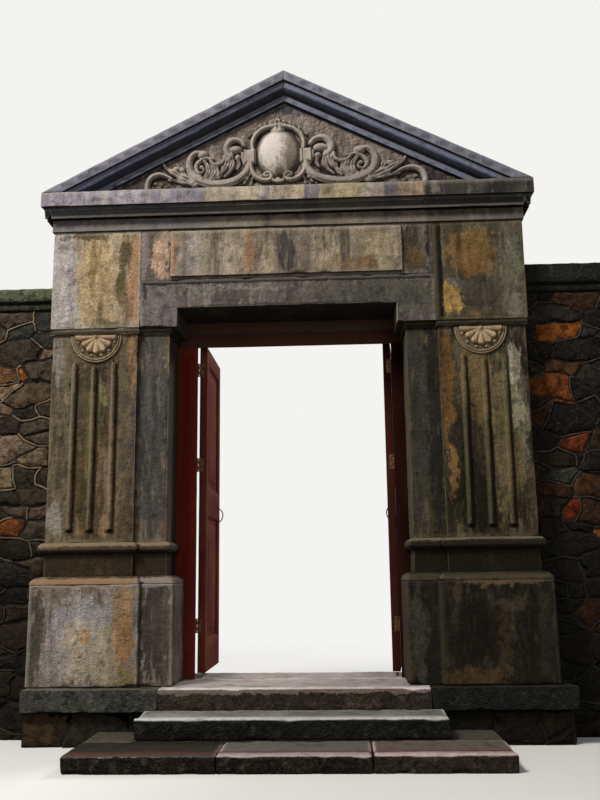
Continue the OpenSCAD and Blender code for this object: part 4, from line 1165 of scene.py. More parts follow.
def carve_scroll(carving):
    """An S-scroll with a ram's horn volute, foliage in its lower bow, an outer leaf with a
    bud, and a hooked tail."""
    stroke, dome = carving.stroke, carving.dome
    stroke([(281, 232), (296, 175), (350, 118), (430, 84), (520, 72), (610, 84),
            (690, 120), (734, 172), (748, 238), (736, 296), (698, 334), (655, 334)],
           (60, 78, 46), 40, groove=0.25)
    dome((640, 316), (44, 40), 50)
    stroke([(318, 384), (342, 420), (388, 436), (434, 416), (456, 368), (448, 318),
            (424, 292)], (36, 60, 50), 42, groove=0.2)
    dome((386, 350), (56, 36), 50)
    stroke([(450, 330), (446, 256), (470, 196), (520, 140)], (44, 54, 18), 40, lobes=3)
    stroke([(420, 310), (408, 236), (432, 172), (470, 130)], (40, 44, 18), 36, lobes=2)
    dome((366, 286), (26, 28), 40)
    stroke([(366, 276), (356, 232), (372, 188)], (26, 36, 12), 32, lobes=1)
    stroke([(330, 320), (324, 262), (318, 226)], (34, 34, 16), 30)
    stroke([(592, 284), (556, 242), (512, 236), (476, 262), (470, 300)],
           (18, 36, 34), 36, groove=0.2)
    stroke([(560, 278), (606, 288), (654, 272), (686, 236), (690, 196), (664, 164),
            (632, 182), (638, 212)], (24, 42, 18), 36, groove=0.2)
    dome((650, 214), (20, 22), 34)
    stroke([(626, 262), (598, 212), (600, 156), (650, 104)], (28, 52, 26), 40, lobes=3)
    stroke([(580, 266), (556, 204), (562, 144), (610, 98)], (24, 50, 26), 38, lobes=3)
    stroke([(532, 232), (526, 180), (540, 134), (584, 100)], (20, 46, 24), 36, lobes=2)
    stroke([(486, 210), (492, 160), (520, 118)], (20, 36, 20), 34, lobes=1)
    stroke([(706, 168), (664, 136), (612, 110)], (22, 40, 20), 32, lobes=2)
    stroke([(716, 100), (800, 136), (880, 186), (925, 214), (946, 250)],
           (76, 70, 14), 38, full=0.4, lobes=3)
    stroke([(700, 80), (800, 104), (905, 114)], (60, 50, 14), 32, lobes=2)
    stroke([(778, 150), (808, 206), (840, 244)], (32, 44, 14), 34, lobes=2)
    dome((846, 204), (32, 26), 40)
    stroke([(880, 120), (920, 146), (972, 164), (1024, 154), (1058, 120), (1072, 72),
            (1072, 44)], (24, 48, 48), 40, groove=0.25)
    for x, z, r in ((1005, 92, 26), (965, 84, 28), (1026, 58, 20), (930, 62, 22), (985, 54, 30)):
        dome((x, z), (r, r * 0.8), 10 + r / 3)


def carve_cartouche(carving):
    """A bulging oval shield in a frame of straps, held by a clip at each side, with a leafy
    crest above and volutes below. One half is carved, and mirrored."""
    stroke, dome = carving.stroke, carving.dome
    x = carving.gx
    carving.gx = np.abs(x)
    dome((0, 313), (180, 212), 20, power=5.0)
    dome((0, 313), (163, 197), 64)
    stroke([(196, 342), (200, 396), (184, 454), (140, 506), (84, 534), (36, 540)],
           (38, 42, 40), 40, groove=0.25)
    stroke([(0, 510), (0, 560), (0, 632)], (104, 84, 12), 44, full=0.4, lobes=3)
    stroke([(18, 528), (52, 568), (86, 572), (100, 552)], (36, 42, 18), 40, lobes=2)
    stroke([(84, 530), (122, 548), (160, 536), (172, 512)], (34, 36, 16), 36, lobes=2)
    stroke([(170, 490), (206, 486), (226, 462)], (26, 30, 12), 30, lobes=1)
    carving.tablet((168, 226), (268, 350), 44)
    stroke([(186, 236), (188, 342)], (12, 12, 12), 50)
    stroke([(252, 236), (252, 342)], (10, 10, 10), 48)
    stroke([(214, 236), (206, 180), (178, 130), (128, 96), (76, 92), (52, 118),
            (72, 150), (104, 142), (102, 122)], (44, 44, 26), 40, groove=0.25)
    dome((84, 122), (20, 16), 46)
    stroke([(262, 72), (240, 118), (214, 152)], (22, 40, 14), 30, lobes=2)
    stroke([(212, 60), (206, 96), (192, 124)], (24, 30, 12), 26, lobes=1)
    stroke([(52, 104), (30, 84), (0, 78)], (28, 32, 34), 34)
    dome((0, 92), (26, 26), 34)
    carving.gx = x


class GATEWAY_OT_relief(bpy.types.Operator):
    """Carves the cartouche and the scrolls of the gable"""
    bl_idname = "gateway.relief"
    bl_label = "Carved relief"

    def execute(self, context):
        stucco = carved_stucco("carved stucco", "#978b80", "#7b7068", "#c4bab0", "#1c1814",
                               ((-0.98, 4.1, 0.06, 0.05, "#6e4f38", 0.8),
                                (0.6, 4.2, 0.3, 0.15, "#7c7269", 0.7)))
        cream = carved_stucco("limewashed shield stucco", "#a09486", "#85796d", "#c6bbaf",
                              "#1c1713", ((-0.11, 4.37, 0.09, 0.17, "#bfb4ab", 0.95),
                                          (0.05, 4.30, 0.04, 0.20, "#6f6557", 0.85),
                                          (0.08, 4.42, 0.04, 0.1, "#8a7d6e", 0.8),
                                          (-0.03, 4.18, 0.05, 0.05, "#54493a", 0.8)), 0.0014)
        shield = Carving((-290, 290), (16, 640))
        carve_cartouche(shield)
        shield.piece("cartouche_carving", ACROSS["cartouche"], cream, "cartouche", 31)
        for node, seed in (("left_scroll", 32), ("right_scroll", 33)):
            scroll = Carving((250, 1105), (16, 492))
            carve_scroll(scroll)
            scroll.piece(node + "_carving", ACROSS[node], stucco, node, seed)
        return {"FINISHED"}


# Half rosettes under the neck bands: the petals, the rings and spokes that carry them, the
# radius and the drop of the hub as shares of the solid's height, and how far the straight
# edge runs up under the band, in metres

ROSETTE_PETALS = 7
ROSETTE_RINGS, ROSETTE_SPOKES = 44, 120
ROSETTE_RADIUS, HUB_DROP, TUCKED_UP = 0.94, 0.09, 0.012


def rosette_height(reach, turn, radius):
    """Height in millimetres of a half rosette at a distance and an angle from its hub."""
    height = 6.0
    for rim in (0.965, 0.88):
        height = max(height, 15 * max(0, 1 - ((reach / radius - rim) / 0.035) ** 2))
    for i in range(ROSETTE_PETALS):
        middle = math.pi + i * math.pi / (ROSETTE_PETALS - 1)
        length = 0.8 if i in (0, ROSETTE_PETALS - 1) else 0.64
        along = reach * math.cos(turn - middle) / (radius * length)
        across = reach * math.sin(turn - middle)
        if 0 < along < 1:
            half = radius * (0.03 + 0.13 * along) * math.sqrt(1 - max(0, (along - 0.8) / 0.2) ** 2)
            if abs(across) < half:
                swell = math.sqrt(1 - (across / half) ** 2) * (0.5 + along / 2)
                height = max(height, 8 + 26 * swell)
    for i in range(ROSETTE_PETALS - 1):
        middle = math.pi + (i + 0.5) * math.pi / (ROSETTE_PETALS - 1)
        away = math.hypot(reach * math.cos(turn - middle) - radius * 0.74,
                          reach * math.sin(turn - middle))
        height = max(height, 20 * math.sqrt(max(0, 1 - (away / (radius * 0.06)) ** 2)))
    hub = radius * 0.13
    if reach < hub:
        height = max(height, 34 * math.sqrt(1 - (reach / hub) ** 2))
    return height


def carve_rosette(bm, tall, centre_x, hub_z, back_y, radius):
    """One half rosette: a carved front and a flat back over a fan of rings and spokes."""
    rings, spokes = ROSETTE_RINGS, ROSETTE_SPOKES
    front, back = [], []
    for r in range(rings + 1):
        row_f, row_b = [], []
        for s in range(spokes + 1):
            reach = radius * r / rings
            turn = math.pi * (1 + s / spokes)
            h = rosette_height(reach * 1000, turn, radius * 1000)
            h += 0.8 * noise.noise(Vector((r, s, centre_x)) * 0.35)
            x = centre_x + reach * math.cos(turn)
            z = hub_z + reach * math.sin(turn)
            if s in (0, spokes):
                z += TUCKED_UP
            v = bm.verts.new((x, back_y - h * MILLIMETRE, z))
            v[tall] = min(1, h / 30)
            row_f.append(v)
            row_b.append(bm.verts.new((x, back_y + 0.002, z)))
        front.append(row_f)
        back.append(row_b)
    for r in range(rings):
        for s in range(spokes):
            bm.faces.new((front[r][s], front[r + 1][s], front[r + 1][s + 1], front[r][s + 1]))
            bm.faces.new((back[r][s + 1], back[r + 1][s + 1], back[r + 1][s], back[r][s]))
    for s in range(spokes):
        bm.faces.new((front[rings][s], back[rings][s], back[rings][s + 1], front[rings][s + 1]))
    for s, order in ((0, 1), (spokes, -1)):
        for r in range(rings):
            bm.faces.new((front[r + 1][s], front[r][s], back[r][s], back[r + 1][s])[::order])


class GATEWAY_OT_rosettes(bpy.types.Operator):
    """Carves a half rosette under each neck band"""
    bl_idname = "gateway.rosettes"
    bl_label = "Rosettes"

    def execute(self, context):
        stucco = carved_stucco("rosette stucco", "#a58d6f", "#8a7458", "#d3c0a2", "#2c2416")
        low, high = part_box("rosettes")
        radius = (high.z - low.z) * ROSETTE_RADIUS
        hub_z = high.z - (high.z - low.z) * HUB_DROP
        bm = bmesh.new()
        tall = bm.verts.layers.float.new("height")
        for centre_x in (low.x + radius, high.x - radius):
            carve_rosette(bm, tall, centre_x, hub_z, high.y, radius)
        bmesh.ops.remove_doubles(bm, verts=bm.verts, dist=1e-6)
        bmesh.ops.recalc_face_normals(bm, faces=bm.faces)
        finish_piece(bm, "rosette_carving", stucco, GATEWAY, ("rosettes",), 75)
        return {"FINISHED"}


# Rubble walls and footings

# Colours of the rubble stones, each with its weight. The right wall's are darker: painted shade on
# that side
STONE_TONES = {
    "left": (("#5e4d3e", 4), ("#524638", 3), ("#4c4433", 1), ("#735c47", 4), ("#2e271c", 3),
             ("#8a7358", 1.5), ("#3a3223", 3), ("#5c4a36", 2)),
    "right": (("#3f2512", 2), ("#4f2a10", 0.8), ("#17130c", 4), ("#241b10", 4), ("#2e2214", 2),
              ("#15120d", 4), ("#2b2721", 2)),
    "footing": (("#4a3b25", 3), ("#262117", 3), ("#5c4528", 2), ("#6b4d2a", 1), ("#2f2b20", 3)),
}


def clip_cell(cell, away, limit):
    """The part of a convex outline on the near side of a line."""
    kept = []
    for p, q in zip(cell, cell[1:] + cell[:1]):
        a = p[0] * away[0] + p[1] * away[1] - limit
        b = q[0] * away[0] + q[1] * away[1] - limit
        if a <= 0:
            kept.append(p)
        if a * b < 0:
            t = a / (a - b)
            kept.append((p[0] + t * (q[0] - p[0]), p[1] + t * (q[1] - p[1])))
    return kept


def stone_cells(width, height, stone_w, stone_h, rng):
    """Outlines of rubble stones on a wall face: cells round scattered points of uneven
    weight, laid roughly in courses and wider than they are tall."""
    rows = max(1, round(height / stone_h))
    columns = max(1, round(width / stone_w))
    points = []
    for row in range(rows):
        for column in range(-1, columns + 1):
            u = (column + 0.5 + 0.5 * (row % 2) + rng.uniform(-0.45, 0.45)) / columns * width
            v = (row + 0.5 + rng.uniform(-0.4, 0.4)) / rows * height
            points.append((u / stone_w, v / stone_h, rng.uniform(0, 0.62)))
    edge = [(0, 0), (width / stone_w, 0), (width / stone_w, height / stone_h),
            (0, height / stone_h)]
    cells = []
    for p in points:
        cell = edge
        for q in points:
            away = (q[0] - p[0], q[1] - p[1])
            if 0 < abs(away[0]) + abs(away[1]) < 5 and cell:
                middle = ((p[0] + q[0]) / 2, (p[1] + q[1]) / 2)
                cell = clip_cell(cell, away, middle[0] * away[0] + middle[1] * away[1]
                                 + (p[2] - q[2]) / 2)
        cell = [(u * stone_w, v * stone_h) for u, v in cell]
        if len(cell) >= 3 and outline_area(cell) > 0.08 * stone_w * stone_h:
            cells.append(cell)
    return cells


def outline_area(cell):
    """The area inside an outline."""
    return abs(sum(p[0] * q[1] - q[0] * p[1] for p, q in zip(cell, cell[1:] + cell[:1]))) / 2


def fine_outline(cell, spacing):
    """An outline with more points along its sides."""
    fine = []
    for p, q in zip(cell, cell[1:] + cell[:1]):
        count = max(1, round(math.dist(p, q) / spacing))
        fine += [(p[0] + (q[0] - p[0]) * i / count, p[1] + (q[1] - p[1]) * i / count)
                 for i in range(count)]
    return fine


def strayed(p, width, height, seed):
    """A point of the joints moved off its straight line, and not across the wall's edge."""
    fade = max(0, min(1, min(p[0], width - p[0], p[1], height - p[1]) / 0.08))
    at = Vector((p[0] * 6.5, p[1] * 6.5, seed * 3.7))
    return (p[0] + 0.06 * fade * noise.noise(at),
            p[1] + 0.038 * fade * noise.noise(at + Vector((17, 5, 3))))


def lay_stone(bm, layer, outline, to_wall, proud, colour, rng):
    """One split stone: a puffed, faceted face over its outline, sunk a little into the bed."""
    centre = [sum(p[k] for p in outline) / len(outline) for k in (0, 1)]
    tilt = (rng.uniform(-0.06, 0.06), rng.uniform(-0.09, 0.09))
    lift = proud * rng.uniform(0.45, 1.15)
    rings = []
    for shrink, rise, rough in ((0.008, -0.006, 0), (0.014, lift * 0.45, 0.001),
                                (0.027, lift, 0.003), (0.056, lift * 1.1, 0.004)):
        ring = []
        for p in outline:
            reach = math.dist(p, centre)
            pull = min(shrink * rng.uniform(0.7, 1.35), reach * 0.8)
            u = p[0] + (centre[0] - p[0]) * pull / max(reach, 1e-6)
            v = p[1] + (centre[1] - p[1]) * pull / max(reach, 1e-6)
            out = rise
            if rough:
                out += tilt[0] * (u - centre[0]) + tilt[1] * (v - centre[1])
                out = max(0, out + rng.uniform(-rough, rough))
            ring.append(bm.verts.new(to_wall(u, v, out)))
        rings.append(ring)
    cap = bm.verts.new(to_wall(centre[0], centre[1], lift * rng.uniform(0.9, 1.3)))
    faces = []
    count = len(outline)
    for lower, upper in zip(rings, rings[1:]):
        for i in range(count):
            j = (i + 1) % count
            faces.append(bm.faces.new((lower[i], lower[j], upper[j], upper[i])))
    for i in range(count):
        faces.append(bm.faces.new((rings[-1][i], rings[-1][(i + 1) % count], cap)))
    faces.append(bm.faces.new(rings[0][::-1]))
    for f in faces:
        for loop in f.loops:
            loop[layer] = colour


def joint_lines(cells, width, height):
    """The joints between the stones, each once, as lists of points."""
    seen, lines = set(), []
    for cell in cells:
        for p, q in zip(cell, cell[1:] + cell[:1]):
            middle = ((p[0] + q[0]) / 2, (p[1] + q[1]) / 2)
            on_edge = any(abs(m - limit) < 1e-4 for m, limit in
                          ((middle[0], 0), (middle[0], width), (middle[1], 0),
                           (middle[1], height)))
            key = (round(middle[0], 3), round(middle[1], 3))
            if not on_edge and key not in seen and math.dist(p, q) > 0.008:
                seen.add(key)
                count = max(1, round(math.dist(p, q) / 0.03))
                lines.append([(p[0] + (q[0] - p[0]) * i / count,
                               p[1] + (q[1] - p[1]) * i / count) for i in range(count + 1)])
    return lines


def lay_rubble(stones, layer, ribbons, to_wall, width, height, usual, proud, tones, rng,
               accents=(), pointed=0.8, flip=False):
    """Covers one face of a wall with stones, and most of their joints with ribbon lines. The
    accents are (along, up, reach, colour) of stones whose colour is known."""
    cells = stone_cells(width, height, *usual, rng)
    seed = rng.random() * 20
    for cell in cells:
        outline = [strayed(p, width, height, seed) for p in fine_outline(cell, 0.035)]
        middle = [sum(p[k] for p in outline) / len(outline) for k in (0, 1)]
        colour = rng.choices([t[0] for t in tones], [t[1] for t in tones])[0]
        shade = rng.uniform(0.75, 1.2)
        for along, up, reach, tone in accents:
            if math.dist(middle, (along, up)) < reach:
                colour, shade = tone, 1.0
        value = [c * shade for c in linear(colour)[:3]] + [1.0]
        lay_stone(stones, layer, outline[::-1] if flip else outline, to_wall, proud, value,
                  rng)
    for line in joint_lines(cells, width, height):
        if rng.random() < pointed:
            points = [ribbons.verts.new(to_wall(*strayed(p, width, height, seed), 0.007))
                      for p in line]
            for a, b in zip(points, points[1:]):
                ribbons.edges.new((a, b))


def end_tree(tree, geometry, material):
    """Ends a Geometry Nodes tree in a real mesh with its finish."""
    real = add(tree, "GeometryNodeRealizeInstances", {"Geometry": geometry})
    done = add(tree, "GeometryNodeSetMaterial", {"Geometry": real.outputs[0],
                                                 "Material": material})
    add(tree, "NodeGroupOutput", {0: done.outputs[0]})
    return tree


def ribbon_tree():
    """Geometry Nodes that lay a half-round, slightly wandering ribbon of mortar along the
    edges of a mesh."""
    sockets = (("Geometry", "Geometry"), ("Width", "Float"), ("Wander", "Float"),
               ("Material", "Material"))
    tree, given = new_group("ribbon pointing", "GeometryNodeTree", sockets,
                            ("Geometry", "Geometry"))
    curve = add(tree, "GeometryNodeMeshToCurve", {"Mesh": given["Geometry"]})
    fine = add(tree, "GeometryNodeResampleCurve", {"Curve": curve.outputs[0], "Length": 0.022},
               mode="LENGTH")
    place = add(tree, "GeometryNodeInputPosition").outputs[0]
    field = add(tree, "ShaderNodeTexNoise", {"Vector": place, "Scale": 9.0, "Detail": 2.0})
    centred = add(tree, "ShaderNodeVectorMath", {0: field.outputs["Color"], 1: (0.5, 0.5, 0.5)},
                  operation="SUBTRACT")
    push = add(tree, "ShaderNodeVectorMath", {0: centred.outputs[0], "Scale": given["Wander"]},
               operation="SCALE")
    moved = add(tree, "GeometryNodeSetPosition", {"Geometry": fine.outputs[0],
                                                  "Offset": push.outputs[0]})
    half = add(tree, "ShaderNodeMath", {0: given["Width"], 1: 0.5}, operation="MULTIPLY")
    bead = add(tree, "GeometryNodeCurvePrimitiveCircle", {"Resolution": 7,
                                                          "Radius": half.outputs[0]})
    swept = add(tree, "GeometryNodeCurveToMesh", {"Curve": moved.outputs[0],
                                                  "Profile Curve": bead.outputs[0],
                                                  "Fill Caps": True})
    smooth = add(tree, "GeometryNodeSetShadeSmooth", {"Geometry": swept.outputs[0]})
    return end_tree(tree, smooth.outputs[0], given["Material"])


def run_tree(mesh, name, tree, values):
    """The plain mesh that a Geometry Nodes tree makes of a mesh, with its named inputs set."""
    carrier = placed(name, mesh)
    modifier = carrier.modifiers.new(name, "NODES")
    modifier.node_group = tree
    for socket in tree.interface.items_tree:
        if socket.in_out == "INPUT" and socket.name in values:
            modifier[socket.identifier] = values[socket.name]
    return modified_mesh(carrier)


# Usual width and height of a footing stone; what share of the joints is still pointed; and
# how far the ribbons wander, in metres
FOOTING_STONE = (0.31, 0.17)
POINTED = {"left": 0.4, "right": 0.3, "footing": 0.08}
RIBBON_WANDER = 0.014

# Stones of the walls whose colour shows in the photo: (x, z, reach, colour). On the left, the dark
# ones low on the wall and under the coping are painted shade.
KNOWN_STONES = {
    "left": (
        (-2.04, 2.7, 0.13, "#9a5620"), (-2.2, 2.7, 0.08, "#6b4a2c"),
        (-2.04, 1.46, 0.09, "#7c431c"), (-2.0, 1.33, 0.07, "#6c3416"),
        (-2.06, 2.00, 0.1, "#806a58"), (-1.9, 2.02, 0.06, "#75614c"),
        (-2.06, 2.2, 0.07, "#4c5044"), (-2.02, 2.45, 0.08, "#403a38"),
        (-1.95, 3.0, 0.14, "#2f3028"), (-2.05, 1.0, 0.12, "#232319"),
    ),
    "right": (
        (1.98, 2.93, 0.1, "#8a4d18"), (2.02, 2.76, 0.09, "#6a3413"), (2.24, 2.8, 0.08, "#6b3a1a"),
        (2.1, 2.55, 0.09, "#5a3b1c"), (2.00, 2.4, 0.1, "#7c4317"), (2.05, 2.12, 0.09, "#6e3516"),
        (2.26, 2.05, 0.08, "#66331a"), (2.1, 1.58, 0.12, "#7a2c0e"), (2.26, 1.35, 0.18, "#a5631f"),
        (2.16, 0.78, 0.15, "#8a4a17"), (2.06, 1.85, 0.09, "#3a3c30"), (2.28, 1.75, 0.1, "#4a3018"),
    ),
    "left footing": ((-1.56, 0.12, 0.17, "#b08a58"), (-1.2, 0.12, 0.16, "#7d735c")),
    "right footing": ((1.57, 0.12, 0.15, "#452b12"),),
}


class GATEWAY_OT_rubble(bpy.types.Operator):
    """Lays the rubble stones and the ribbon pointing of the boundary walls"""
    bl_idname = "gateway.rubble"
    bl_label = "Rubble walls"

    def execute(self, context):
        sizes = context.scene.gateway_rubble
        bed = lime_mortar("mortar bed", "#15110b", "#0c0a06")
        # The right ribbon's darker colours are painted shade on that side
        ribbon = {"left": lime_mortar("left ribbon mortar", "#776850", "#54473a"),
                  "right": lime_mortar("right ribbon mortar", "#39322a", "#1f1a14")}
        stone = field_stone("split field stone")
        tree = ribbon_tree()
        for side, sign in (("left", -1), ("right", 1)):
            rng = random.Random(sizes.seed + sign)
            stones, ribbons = bmesh.new(), bmesh.new()
            layer = stones.loops.layers.float_color.new("stone")
            for node in (side + "_wall", side + "_footing"):
                low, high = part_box(node)
                inner = min(abs(low.x), abs(high.x))
                outer = max(abs(low.x), abs(high.x))
                wall = node.endswith("wall")
                kind = side if wall else "footing"
                coat(frame["nodes"][node].data, bed)
                accents = [(abs(x) - inner, z, reach, tone) for x, z, reach, tone in
                           KNOWN_STONES[side if wall else side + " footing"]]
                usual = (sizes.stone_w, sizes.stone_h) if wall else FOOTING_STONE
                tones = STONE_TONES[kind]
                for face_y, out in ((low.y, -1), (high.y, 1)):
                    def to_wall(u, v, rise):
                        return Vector((sign * (inner + u), face_y + out * rise, low.z + v))

                    lay_rubble(stones, layer, ribbons, to_wall, outer - inner, high.z - low.z,
                               usual, sizes.proud, tones, rng, accents if out < 0 else (),
                               POINTED[kind], sign * out > 0)
                if not wall:
                    def to_end(u, v, rise):
                        return Vector((sign * (outer + rise), low.y + u, low.z + v))

                    lay_rubble(stones, layer, ribbons, to_end, high.y - low.y, high.z - low.z,
                               usual, sizes.proud, tones, rng, (), POINTED[kind], sign < 0)
            bmesh.ops.recalc_face_normals(stones, faces=stones.faces)
            bmesh.ops.remove_doubles(ribbons, verts=ribbons.verts, dist=2e-4)
            finish_piece(stones, side + "_wall_stones", stone, sharp_angle=32)
            net = bpy.data.meshes.new(side + "_joint_net")
            ribbons.to_mesh(net)
            ribbons.free()
            mesh = run_tree(net, side + "_joint_net", tree,
                            {"Width": sizes.ribbon_w, "Wander": RIBBON_WANDER,
                             "Material": ribbon[side]})
            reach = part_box(side + "_wall")[side == "right"].x
            for v in mesh.vertices:
                v.co.x = sign * min(sign * v.co.x, sign * reach)
                v.co.z = max(v.co.z, 0.0)
            place_mesh(mesh, side + "_wall_pointing", ribbon[side])
        return {"FINISHED"}


# Stone slabs: plinth courses, threshold, steps and copings

# The three stones of the bottom step: (middle, half width), in metres
BOTTOM_STONES = ((-0.85, 0.46), (0.07, 0.46), (0.95, 0.42))


def stone_by_stone(*colours):
    """Stains that give each stone of the bottom step a colour of its own."""
    return [(x, 0, half, 9, colour, 0.95)
            for (x, half), colour in zip(BOTTOM_STONES, colours)]


class GATEWAY_OT_slabs(bpy.types.Operator):
    """Hews the plinth courses, the steps, the threshold, the side stones and the copings, and
    coats the core of the steps
    """
    bl_idname = "gateway.slabs"
    bl_label = "Stone slabs"

    def execute(self, context):
        chip = context.scene.gateway_wear.chip
        # The right plinth course is a darker copy of the left one: painted shade, with damp
        plinth = {
            "left": dressed_granite("pointed blue granite", "#383732", "#45443d", "#76746b",
                                    "#141410", "#4a463b", "#5b564a"),
            "right": dressed_granite("damp and shaded blue granite", "#191a17", "#20211d", "#3d3e38",
                                     "#080806", "#1e1d17", "#2a2922")}
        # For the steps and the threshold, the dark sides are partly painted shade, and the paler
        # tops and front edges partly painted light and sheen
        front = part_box("bottom_step")[0].y
        step = dressed_granite("grey-green granite step", "#12110c", "#1b1a14", "#3a3831",
                               "#070604", "#7b7871", "#bab8b3",
                               nosing=(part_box("middle_step")[1].z, 0.012, "#3a3831", 0.012),
                               front_y=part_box("middle_step")[0].y)
        pink = dressed_granite("pink granite step", "#14120c", "#221d15", "#544b40", "#080704",
                               "#595147", "#8c7a75", ((0.95, 0, 0.44, 9, "#2e271e", 0.85),),
                               stone_by_stone("#221e18", "#5d5a53", "#5f544b"),
                               stone_by_stone("#41362f", "#a49590", "#b9a49d"),
                               (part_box("bottom_step")[1].z, 0.010, "#8a766e", 0.022),
                               front + 0.095, front)
        sill = dressed_granite("pinkish threshold stone", "#2f2820", "#3c3127", "#66574c",
                               "#0f0c08", "#9c918a", "#c6bcb6",
                               nosing=(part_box("threshold")[1].z, 0.035, "#7a6a60", 0.06),
                               front_y=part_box("threshold")[0].y)
        cope = dressed_granite("mossy coping stone", "#474c36", "#596045", "#7d8264", "#1f2116",
                               "#474d33", "#565c3e", ((-2.4, 3.2, 1.2, 0.06, "#24241b", 0.8),))
        dark_cope = dressed_granite("dark coping stone", "#201f19", "#191813", "#3f3c33",
                                    "#0b0b08", "#2c2a22", "#36332b")
        rubble = dressed_granite("side stones", "#2a251b", "#211d16", "#4b4335", "#100e09",
                                 "#4a443b", "#5a5348")
        for seed, side in ((41, "left"), (42, "right")):
            hewn(side + "_plinth_course", plinth[side], 0.013, 0.003, chip * 0.6,
                 seed)
        hewn("threshold", sill, 0.012, 0.003, chip, 43, 1.0)
        hewn("middle_step", step, 0.012, 0.003, chip * 0.7, 44)
        hewn("bottom_step", pink, 0.012, 0.003, chip * 0.9, 45)
        hewn("side_stones", rubble, 0.013, 0.004, chip * 0.7, 46)
        hewn("left_coping", cope, 0.016, 0.004, chip, 47)
        hewn("right_coping", dark_cope, 0.016, 0.004, chip, 48)
        coat(frame["nodes"]["step_core"].data, rubble)
        return {"FINISHED"}


# Doors

def leaf_place(side):
    """The turn and place that carry a closed leaf, drawn with its pin at the origin and
    running along +X, to the pose in which it is stored. The right one is mirrored."""
    joint = next(j for j in frame["joints"] if j["name"] == side + "_leaf_hinge")
    opening = -joint["range_deg"][0]
    place = Matrix.Translation(Vector((joint["pos_m"][0], joint["pos_m"][1], 0)))
    mirror = Matrix.Scale(-1, 4, Vector((1, 0, 0))) if side == "right" else Matrix.Identity(4)
    return place @ mirror @ Matrix.Rotation(math.radians(opening), 4, "Z")


def panel_levels(node):
    """Foot and head of each panel, from the CAD panels' own corners."""
    levels = sorted({round(v.co.z, 4) for v in frame["nodes"][node].data.vertices})
    return ((levels[0], levels[3]), (levels[4], levels[7]))


# Section of a raised and fielded panel: distance in from the frame, height above mid plane
PANEL_SECTION = ((0.0, 0.026), (0.005, 0.026), (0.010, 0.0235), (0.015, 0.017), (0.018, 0.0135),
                 (0.022, 0.0125), (0.024, 0.010), (0.062, 0.010), (0.066, 0.0118),
                 (0.094, 0.0185), (0.096, 0.019))


def fielded_panel(bm, x, z, mid, carry):
    """A closed panel with the same mouldings on both faces."""
    for face in (1, -1):
        rings = []
        for inset, rise in PANEL_SECTION:
            corners = ((x[0] + inset, z[0] + inset), (x[1] - inset, z[0] + inset),
                       (x[1] - inset, z[1] - inset), (x[0] + inset, z[1] - inset))
            rings.append([bm.verts.new(carry @ Vector((u, mid - face * rise, w)))
                          for u, w in corners])
        for outer, inner in zip(rings, rings[1:]):
            for i in range(4):
                j = (i + 1) % 4
                bm.faces.new((outer[i], outer[j], inner[j], inner[i]))
        bm.faces.new(rings[-1])
        if face == 1:
            front_edge = rings[0]
    for i in range(4):
        j = (i + 1) % 4
        bm.faces.new((front_edge[i], front_edge[j], rings[0][j], rings[0][i]))


class GATEWAY_OT_doors(bpy.types.Operator):
    """Paints the frame and the leaves, and makes their raised and fielded panels"""
    bl_idname = "gateway.doors"
    bl_label = "Doors"

    def execute(self, context):
        fresh = context.scene.gateway_finish.paint[:]
        paint = {"left": oxblood_paint("oxblood oil paint", fresh, "#6c3b29"),
                 "right": oxblood_paint("shaded oxblood oil paint", "#2a0b09", "#3b1914",
                                        bare=0.4)}
        frame_paint = oxblood_paint("oxblood oil paint on the frame", "#651b15", "#74281e")
        dark_frame = oxblood_paint("shaded oxblood oil paint on the frame", "#160403", "#220b08",
                                   bare=0.2)
        head_paint = oxblood_paint("dark weathered head paint", "#2e1c17", "#3a2a25", 0)
        board_paint = oxblood_paint("sooty boarding", "#3a362f", "#464039", 0)
        for node, finish in (("left_jamb", frame_paint), ("right_jamb", dark_frame),
                             ("door_head", head_paint), ("head_board", board_paint)):
            worn(node, finish, 0.003, 0.12, 0.0004, 0.002, 51)
        for seed, side, body in ((61, "left", LEFT_LEAF), (62, "right", RIGHT_LEAF)):
            worn(side + "_leaf_frame", paint[side], 0.0025, 0.15, 0.0003, 0.001, seed,
                 body)
            carry = leaf_place(side)
            node = side + "_leaf_panels"
            back = carry.inverted()
            local = [back @ v.co for v in frame["nodes"][node].data.vertices]
            x = (min(p.x for p in local), max(p.x for p in local))
            mid = (min(p.y for p in local) + max(p.y for p in local)) / 2
            bm = bmesh.new()
            for z in panel_levels(node):
                fielded_panel(bm, x, z, mid, carry)
            bmesh.ops.recalc_face_normals(bm, faces=bm.faces)
            low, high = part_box(node)
            cut_into_cells(bm, low, high, 0.15)
            weather(bm, 0.0002, 0.0, seed)
            finish_piece(bm, node + "_fielded", paint[side], body, (node,), 20)
        return {"FINISHED"}


# Radius of a screw's head, and how near the pin a hinge flap has to be, in metres
SCREW_RADIUS = 0.0042
FLAP_REACH = 0.2


